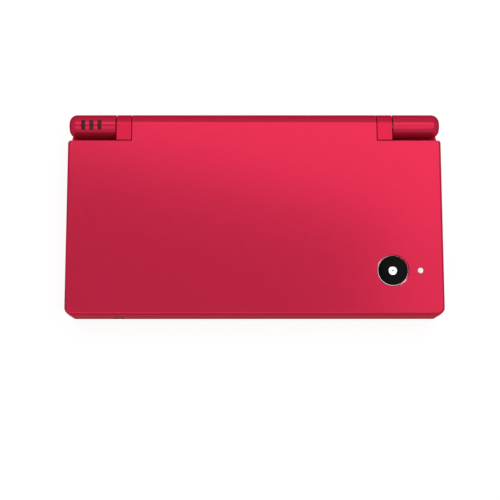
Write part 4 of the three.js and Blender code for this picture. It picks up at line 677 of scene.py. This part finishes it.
def pad_cross(name, length, arm, z):
    """A cube whose four sides are drawn out into the arms of a cross."""
    half, reach = arm / 2, (length - arm) / 2
    piece = block(name, about(PAD[0], half), about(PAD[1], half), z)
    for way in (Vector((1, 0, 0)), Vector((-1, 0, 0)), Vector((0, 1, 0)), Vector((0, -1, 0))):

        def end_face(centre, normal):
            beside = abs(centre.x - PAD[0]) if way.y else abs(centre.y - PAD[1])
            return normal.dot(way) > 0.9 and beside < 0.1

        pick(piece, "FACE", end_face)
        bpy.ops.mesh.extrude_region_move(TRANSFORM_OT_translate={"value": way * reach * MM})
        bpy.ops.mesh.select_all(action="SELECT")
        in_order(Vector((*PAD, z[0])) * MM)
        bpy.ops.object.mode_set(mode="OBJECT")
    return piece


def shoulder_ways():
    """Cutters for the shoulder buttons at the rear corners."""
    y, z = (27.3, PAST_REAR), (2.5, 9.1)
    return both_sides(lambda: block("shoulder_way", (40.3, PAST_SIDE), y, z))


def base_hollow(name, z):
    """The room between the base's walls."""
    x, y = shrunk(BASE_X, BASE_WALL), shrunk(BASE_Y, BASE_WALL)
    return slab(name, x, y, z, BASE_HOLLOW_CORNERS)


def make_base_top():
    z, through, pocket = (BASE_SPLIT, DECK), (8.2, PAST_DECK), (8.2, 9.9)
    deck = slab("deck", BASE_X, BASE_Y, z, BASE_CORNERS, top=0.6, bottom=SEAM_EDGE)
    carve(deck, base_hollow("deck_hollow", (BASE_SPLIT - 1, DECK_UNDER)))
    unite(deck, *both_sides(make_barrel))
    carve(deck, *shoulder_ways())
    carve(
        deck,
        rod("trough", "X", BARREL + 0.35, (-BARREL_X[0], BARREL_X[0]), HINGE, 96),
        *both_sides(lambda: rod("bore", "X", 3, (50.05, 65), HINGE, 64)),
        slab("screen_way", (-33.5, 33.5), (-28.9, 22.1), through, (1.2, 1.2)),
        slab("panel_pocket", (-35.4, 35.4), (-30.8, 24.0), pocket, (1.2, 1.2)),
        pad_cross("pad_way", 21.2, 7.5, through),
        rod("pad_pocket", "Z", 11.3, pocket, PAD, 64),
    )
    depth = DECK - through[0]
    for name, place in FACE_KEYS.items():
        carve(deck, chamfered_hole(name + "_hole", FACE_KEY + KEY_GAP, place, DECK, depth))
    for name, place in SMALL_KEYS.items():
        radius = SMALL_KEY + KEY_GAP
        carve(deck, chamfered_hole(name + "_hole", radius, place, DECK, depth, sides=48))
    carve(
        deck,
        block("flex_slot", (-57.5, -54.6), (32.5, 33.9), (through[0], HINGE[1])),
        *lamp_slots("lamp_way", 19.9, 0.08),
    )
    return done(deck, casing, "casing", "base_top_shell")


def rounded_way(name, x, y, z, corner):
    """A cutter through the rear wall with rounded corners."""
    piece = block(name, x, y, z)
    round_edges(piece, lambda a, b: at(a.x, b.x) and at(a.z, b.z), corner, 5)
    return piece


def make_base_bottom():
    z, wall = (BASE_LOW, BASE_SPLIT), (1.1, 6.4)
    tray = slab("tray", BASE_X, BASE_Y, z, BASE_CORNERS, top=SEAM_EDGE, bottom=2.0)
    carve(tray, base_hollow("tray_hollow", (1.7, 8)))
    unite(tray, block("bay", (-34.2, 18.2), (-30.75, 0.65), wall))
    unite(tray, block("card_mouth", (65.6, 67.5), (-2.3, 26.7), wall))
    for x in (-32.2, 18.2, 42.7):
        unite(tray, block("cradle", about(x, 0.5), (-36.45, -30.25), wall))
    for place in CASE_SCREWS.values():
        unite(tray, rod("case_boss", "Z", 2.3, wall, place, 32))
    for place in COVER_SCREWS.values():
        unite(tray, rod("cover_boss", "Z", 2.0, (wall[0], 4.9), place, 32))
    carve(tray, *shoulder_ways())
    carve(
        tray,
        block("bay_hollow", (-33.2, 17.2), (-29.75, -0.35), (UNDER_TRAY, 5.8)),
        slab("cover_seat", (-38.1, 22.1), (-31.45, 1.35), (UNDER_TRAY, 1.3), (2.1, 2.1)),
        block("game_way", (-20.9, 12.9), (34.65, PAST_REAR), (1.7, 6.1)),
        rounded_way("charge_way", (23.55, 30.95), (34.65, PAST_REAR), (3.5, 5.9), 0.5),
        rod("jack_way", "Y", 2.2, (-38.2, -34.75), (-50, 4.05), 48),
        block("door_pocket", (67.1, PAST_SIDE), (-1.8, 26.2), (2.5, 6.7)),
        block("card_way", (64.6, 68.2), (0, 24.4), (3.45, 6.05)),
        rod("stylus_way", "X", 2.5, (-24.8, PAST_SIDE), STYLUS, 48),
    )
    for y in VOLUME_KEYS.values():
        carve(tray, block("volume_way", (-PAST_SIDE, -65.8), about(y, 3.4), (2.9, 5.9)))
    for name, place in FEET.items():
        carve(tray, rod(name + "_seat", "Z", 3.1, (UNDER_TRAY, 0.9), place, 48))
    for name, place in CASE_SCREWS.items():
        carve(tray, rod(name + "_head", "Z", HEAD_WAY, (UNDER_TRAY, 1.5), place, 32))
    for place in (*CASE_SCREWS.values(), *COVER_SCREWS.values()):
        carve(tray, rod("screw_way", "Z", SHANK_WAY, (UNDER_TRAY, BASE_SPLIT), place, 24))
    for x in ((-33.55, -31.85), (-30.65, -28.95)):
        carve(tray, rounded_way("strap_way", x, (34.75, PAST_REAR), (2.8, 5.4), 0.4))
    return done(tray, casing, "casing", "base_bottom_shell")


def make_battery_cover():
    cover = slab("cover", (-38, 22), (-31.35, 1.25), (BASE_LOW, 1.2), (2, 2), bottom=0.25)
    for name, place in COVER_SCREWS.items():
        sink = rod(name + "_sink", "Z", HEAD_WAY, (UNDER_TRAY, 0.85), place, 32)
        carve(cover, sink, rod(name + "_hole", "Z", SHANK_WAY, (0, 2), place, 24))
    for row in range(5):
        y = -25.9 - 0.8 * row
        carve(cover, slab("grip", (-13, -3), (y, y + 0.4), (0.2, 0.68), (0.19, 0.19), steps=4))
    return done(cover, casing, "casing", "battery_cover")


def make_screw(name, place, head, tip):
    """A pan head with a cross recess, on its shank."""
    low, high = head
    edge, depth = 0.12, min(0.5, (high - low) * 0.6)
    pan = [(0, low), (SCREW_HEAD - edge, low), (SCREW_HEAD, low + edge), (SCREW_HEAD, high)]
    shank = [(SCREW_SHANK, high), (SCREW_SHANK, tip), (0, tip)]
    piece = turned("screw_" + name, pan + shank, place, sides=32)
    for x, y in ((0.85, 0.16), (0.16, 0.85)):
        z = (low - 0.2, low + depth)
        carve(piece, block("slot", about(place[0], x), about(place[1], y), z))
    return done(piece, steel.material, "steel", name)


def make_foot(name, place):
    radius, height, edge = 3, 0.8, 0.4
    curve = arc((radius - edge, edge), edge, -90, 0, 6)
    profile = [(0, 0), *curve, (radius, height), (0, height)]
    piece = turned("pad_of_" + name, profile, place, sides=48)
    return done(piece, rubber.material, "rubber", name)


def make_bumper(name, place):
    radius, low, high, edge = 1.3, 10.6, 11.3, 0.3
    curve = arc((radius - edge, low + edge), edge, -90, 0, 5)
    profile = [(0, low), *curve, (radius, high), (0, high)]
    piece = turned("dot_of_" + name, profile, place, sides=32)
    return done(piece, rubber.material, "rubber", name)


def make_door():
    """A flap with a rolled edge below, and a notch for a nail in its upper edge."""
    y, low, high = (-1.5, 25.9), 3.3, 6.4
    flap = block("card_door", (67.2, 68.2), y, (low, high))
    unite(flap, rod("door_roll", "Y", 0.5, y, (67.7, low), 24))
    carve(flap, rod("nail_notch", "Y", 0.55, (8.2, 16.2), (68.5, high), 24))
    return done(flap, casing, "casing", "memory_card_door")


def make_volume_key(name, y):
    face, shoulder, back = -68.5, -66.7, -66.2
    cap = block(name + "_cap", (face, shoulder), about(y, 3.1), (3.2, 5.6))
    round_edges(cap, lambda a, b: at(a.y, b.y) and at(a.z, b.z), 0.7, 6)
    round_edges(cap, lambda a, b: at(a.x, face) and at(b.x, face), 0.35, 4)
    unite(cap, block("flange", (shoulder, back), about(y, 3.7), (2.6, 6.2)))
    return done(cap, key_plastic.material, "keys", name)


def make_shoulder(side):
    """A wall with the base's outline round one rear corner, with a nub inside and its pin's way."""
    turn = 1 if side == "right" else -1
    name, z, clear = "shoulder_" + side, (2.8, 8.8), (1.8, 9.8)
    shell = slab(name, BASE_X, BASE_Y, z, BASE_CORNERS, top=0.45, bottom=0.45, steps=16)
    carve(shell, slab("inside", (-65.6, 65.6), (-34.55, 34.55), clear, (1.4, 6.4), steps=16))
    reach, nub = sorted((turn * 40.6, turn * 68.5)), sorted((turn * 60.0, turn * 62.4))
    combine(shell, [block("reach", reach, (28.2, 37.45), (2, 9.6))], "INTERSECT")
    unite(shell, block("nub", nub, (32.65, 35.85), (7.1, z[1])))
    carve(shell, rod("pin_way", "Z", 0.8, clear, (turn * 43.0, 35.85), 32))
    return done(shell, casing, "casing", "shoulder_button_" + side)


def make_stylus():
    """A pen with a round tip, four grip grooves and a rounded outer end."""
    radius, groove, end = 2.2, 2.05, 68.5
    tip = arc((0.0, -22.8), 0.7, -90, 0, 6)
    grooves = []
    for x in (62.6, 63.6, 64.6, 65.6):
        grooves += [(radius, x), (groove, x + 0.12), (groove, x + 0.28), (radius, x + 0.4)]
    cap = arc((radius - 0.5, end - 0.5), 0.5, 0, 90, 6)
    pen = turned("pen", [*tip, (radius, -19.5), *grooves, *cap, (0, end)], STYLUS, "X", 48)
    return done(pen, key_plastic.material, "keys", "stylus")


def make_light_guide():
    """Three prongs that end flush with the barrel, on one bar inside it."""
    outer, guide, inner = lamp_slots("prong", 19.5)
    unite(guide, outer, inner)
    combine(guide, [rod("barrel_face", "X", BARREL, (-66, -54), HINGE, 96)], "INTERSECT")
    unite(guide, block("bar", (-64.3, -55.7), (31.3, 34.5), (WINDOW_LOW, 16.85)))
    return done(guide, smoked.material, "smoked_plastic", "indicator_light_guide")


# The keys


def make_pad():
    cap = pad_cross("pad_cap", 20.4, 6.7, (8.8, KEY_TOP))

    def at_arm_end(a, b):
        return upright(a, b) and max(abs(a.x - PAD[0]), abs(a.y - PAD[1])) > 5

    round_edges(cap, at_arm_end, 0.7, 5)
    round_edges(cap, level(KEY_TOP), 0.5, 5)
    unite(cap, rod("pad_flange", "Z", 11, (KEY_LOW, FLANGE_TOP), PAD, 64))
    unite(cap, rod("pad_post", "Z", 2, (7.7, 8.8), PAD, 32))
    past = 12
    bowl = arc((0, 15.55), 4.5, -78, -65, 6)
    carve(cap, turned("dish", [(0, 11.05), *bowl, (2.4, past), (0, past)], PAD, sides=48))
    for across, along in ((1, 0), (-1, 0), (0, 1), (0, -1)):
        half_x, half_y = (0.55, 1.5) if across else (1.5, 0.55)
        x, y = about(PAD[0] + 7.2 * across, half_x), about(PAD[1] + 7.2 * along, half_y)
        carve(cap, slab("groove", x, y, (11.25, past), (0.5, 0.5), steps=4))
    return done(cap, key_plastic.material, "keys", "direction_pad")


def make_round_key(name, place, radius):
    """A key with a softly domed top over a flange that the deck holds down."""
    edge = arc((radius - 0.5, KEY_TOP - 0.62), 0.5, 0, 80, 7)
    flange = radius + 1.1
    foot = [(0, KEY_LOW), (flange, KEY_LOW), (flange, FLANGE_TOP), (radius, FLANGE_TOP)]
    crown = [(radius * 0.55, KEY_TOP - 0.03), (0, KEY_TOP)]
    piece = turned("cap_of_" + name, [*foot, *edge, *crown], place, sides=64)
    return done(piece, key_plastic.material, "keys", name)


# Screens, camera and lamps


def make_glass(name, node, material, x, y, z, corner, bottom=0.0):
    pane = slab(name, x, y, z, (corner, corner), bottom=bottom)
    return done(pane, material, "black_window", node)


def make_camera():
    """The trim slopes outwards all round, and the black glass stands in it with its lens, whose
    white is a painted reflection.
    """
    flange = [(4.6, 17.0), (6.6, 17.0), (6.6, 17.5)]
    slope = [(5.7, 17.5), (5.7, 18.64), (5.68, 18.68), (5.42, 18.885)]
    seat = [(5.41, 18.88), (5.41, 18.0), (4.6, 18.0), (4.6, 17.0)]
    ring = turned("camera_trim", flange + slope + seat, CAMERA, sides=128)
    done(ring, chrome.material, "bright_ring", "outer_camera_ring")
    rim = [(1.65, 18.1), (5.4, 18.1), (5.4, 18.85), (5.36, 18.875)]
    hole = [(1.78, 18.875), (1.65, 18.76), (1.65, 18.1)]
    glass = turned("camera_cover_glass", rim + hole, CAMERA, sides=128)
    done(glass, camera_glass.material, "black_window", "outer_camera_window")
    # The lens is painted white: a painted reflection in the middle of the dark glass.
    dome = [(1.55, 18.3), *arc((0, 14.1), 4.7, 70.7, 85, 8), (0.41, 18.7)]
    lens = turned("camera_front_lens", [(0, 18.3), *dome, (0, 18.7)], CAMERA, sides=64)
    done(lens, lens_painted_reflection.material, "milky_plastic", body="lid")
    drum = [(0, 18.6), (0.36, 18.6), (0.36, 18.78), (0.3, 18.8), (0, 18.8)]
    stop = turned("camera_stop", drum, CAMERA, sides=32)
    done(stop, stop_grey.material, "black_plastic", body="lid")


def make_lamp():
    dome = arc((0.85, 18.75), 0.15, 0, 90, 4)
    profile = [(0, 16.9), (1.4, 16.9), (1.4, 17.5), (1.0, 17.5), *dome, (0, 18.9)]
    piece = turned("lamp_window", profile, LAMP, sides=48)
    return done(piece, milky.material, "milky_plastic", "outer_camera_lamp")


def make_inner_lens():
    """The glossy front of the inner camera under the hinge."""
    lens = [(0, 10.52), (0.9, 10.5)]
    rim = [(1.0, 10.46), (1.6, 10.46), (1.75, 10.55), (1.75, 10.7), (0, 10.7)]
    piece = turned("inner_camera_front", lens + rim, (0, HINGE[0]), sides=48)
    return done(piece, camera_glass.material, "black_window", body="lid")


make_lid_top()
make_lid_inner()
make_base_top()
make_base_bottom()
make_battery_cover()
for screw, spot in CASE_SCREWS.items():
    make_screw(screw, spot, (0.6, 1.4), 8.2)
for screw, spot in COVER_SCREWS.items():
    make_screw(screw, spot, (0.55, 0.8), 4.4)
for foot, spot in FEET.items():
    make_foot(foot, spot)
for bumper, spot in BUMPERS.items():
    make_bumper(bumper, spot)
make_door()
for key, height in VOLUME_KEYS.items():
    make_volume_key(key, height)
make_shoulder("right")
make_shoulder("left")
make_stylus()
make_light_guide()
make_pad()
for key, spot in FACE_KEYS.items():
    make_round_key(key, spot, FACE_KEY)
for key, spot in SMALL_KEYS.items():
    make_round_key(key, spot, SMALL_KEY)
make_glass(
    "touch_glass",
    "touch_panel",
    lower_glass,
    x=(-35.3, 35.3),
    y=(-30.7, 23.9),
    z=(9.1, 9.8),
    corner=1.2,
)
make_glass(
    "picture_glass",
    "upper_screen_window",
    upper_glass,
    x=(-37, 37),
    y=(-32.9, 24.1),
    z=(LID_LOW, 11.7),
    corner=1.6,
    bottom=0.15,
)
make_camera()
make_lamp()
make_inner_lens()

# What stays as the frame has it takes its finish here.
INSIDE = {
    "battery": battery_wrap.material,
    "main_board": board,
    "card_socket": black_plastic.material,
    "memory_card_socket": steel.material,
    "charging_socket": steel.material,
    "headphone_jack": black_plastic.material,
    "lower_display": display_film,
    "upper_display": display_film,
    "hinge_cartridge": steel.material,
    "hinge_shaft": steel.material,
    "shoulder_pin_right": steel.material,
    "shoulder_pin_left": steel.material,
    "board_flex": flex_film.material,
    "display_flex": flex_film.material,
    "face_button_membrane": key_rubber.material,
    "start_select_membrane": key_rubber.material,
    "power_button_membrane": key_rubber.material,
    "direction_pad_membrane": key_rubber.material,
    "speaker_right": black_plastic.material,
    "speaker_left": black_plastic.material,
    "outer_camera_module": black_plastic.material,
    "inner_camera_module": black_plastic.material,
    "left_hinge_sleeve": inner_casing,
}
for node, material in INSIDE.items():
    for place in frame["nodes"][node].material_slots:
        place.material = material


# The studio, in metres and watts

WHITE = (1, 1, 1, 1)
AIR_STRENGTH = 0.18
FLOOR_RADIUS, FLOOR_LEVEL, FLOOR_WHITE = 6, -0.0002, 0.86
LIGHT_HEIGHT = 0.72


def seen_outright(tree):
    """One for a camera, glossy or transmitted ray, and nought for any other."""
    path = tree.nodes.new("ShaderNodeLightPath")
    seen = path.outputs["Is Camera Ray"]
    for kind in ("Is Glossy Ray", "Is Transmission Ray"):
        either = tree.nodes.new("ShaderNodeMath")
        either.operation = "MAXIMUM"
        tree.links.new(seen, either.inputs[0])
        tree.links.new(path.outputs[kind], either.inputs[1])
        seen = either.outputs[0]
    return seen


def make_world():
    """Dim white air that lights the object, and plain white where the world itself is seen."""
    world = bpy.data.worlds.new("studio_air")
    world.use_nodes = True
    bpy.context.scene.world = world
    tree = world.node_tree
    air = tree.nodes["Background"]
    white = tree.nodes.new("ShaderNodeBackground")
    for sky, strength in ((air, AIR_STRENGTH), (white, 1.0)):
        sky.inputs["Color"].default_value = WHITE
        sky.inputs["Strength"].default_value = strength
    mix = tree.nodes.new("ShaderNodeMixShader")
    tree.links.new(seen_outright(tree), mix.inputs["Fac"])
    tree.links.new(air.outputs[0], mix.inputs[1])
    tree.links.new(white.outputs[0], mix.inputs[2])
    tree.links.new(mix.outputs[0], tree.nodes["World Output"].inputs["Surface"])


def make_floor():
    """Pale matt paper that keeps the shadow, and shines white only where it is seen."""
    bpy.ops.object.select_all(action="DESELECT")
    bpy.ops.mesh.primitive_circle_add(
        vertices=96, radius=FLOOR_RADIUS, fill_type="NGON", location=(0, 0, FLOOR_LEVEL)
    )
    floor = started("floor")
    paper = bpy.data.materials.new("floor_paper")
    paper.use_nodes = True
    tree = paper.node_tree
    shader = tree.nodes["Principled BSDF"]
    shader.inputs["Base Color"].default_value = (0.3, 0.3, 0.3, 1)
    shader.inputs["Roughness"].default_value = 0.9
    shader.inputs["Specular IOR Level"].default_value = 0.0
    white = tree.nodes.new("ShaderNodeEmission")
    white.inputs["Color"].default_value = WHITE
    white.inputs["Strength"].default_value = FLOOR_WHITE
    mix = tree.nodes.new("ShaderNodeMixShader")
    both = tree.nodes.new("ShaderNodeAddShader")
    tree.links.new(seen_outright(tree), mix.inputs["Fac"])
    tree.links.new(white.outputs[0], mix.inputs[2])
    tree.links.new(shader.outputs[0], both.inputs[0])
    tree.links.new(mix.outputs[0], both.inputs[1])
    tree.links.new(both.outputs[0], tree.nodes["Material Output"].inputs["Surface"])
    floor.data.materials.append(paper)


def soft_light(name, x, y, size, power, twist=0):
    """A rectangular soft light that looks straight down, twisted about its line of sight."""
    bpy.ops.object.light_add(type="AREA", location=(x, y, LIGHT_HEIGHT))
    light = bpy.context.object
    light.name = light.data.name = name
    light.data.shape = "RECTANGLE"
    light.data.size, light.data.size_y = size
    light.data.energy = power
    light.rotation_euler = (0, 0, radians(twist))


def make_camera_view():
    """The photograph's view: from above and a little from the front, with a long lens."""
    bpy.ops.object.camera_add(
        location=(-0.003, -0.0924, 0.4829),
        rotation=(radians(9.6), radians(-0.16), radians(-0.04)),
    )
    camera = bpy.context.object
    camera.name = camera.data.name = "camera"
    camera.data.sensor_width = 36
    camera.data.lens = 93.6
    camera.data.clip_start = 0.01
    bpy.context.scene.camera = camera


make_world()
make_floor()
soft_light("rear_soft_light", 0.03, 0.31, (0.9, 0.3), 1.65, -13)
soft_light("right_soft_light", 0.34, -0.02, (0.44, 0.34), 0.61)
soft_light("front_soft_light", 0, -0.28, (0.9, 0.4), 1.25)
make_camera_view()
bpy.context.scene.view_settings.view_transform = "Standard"
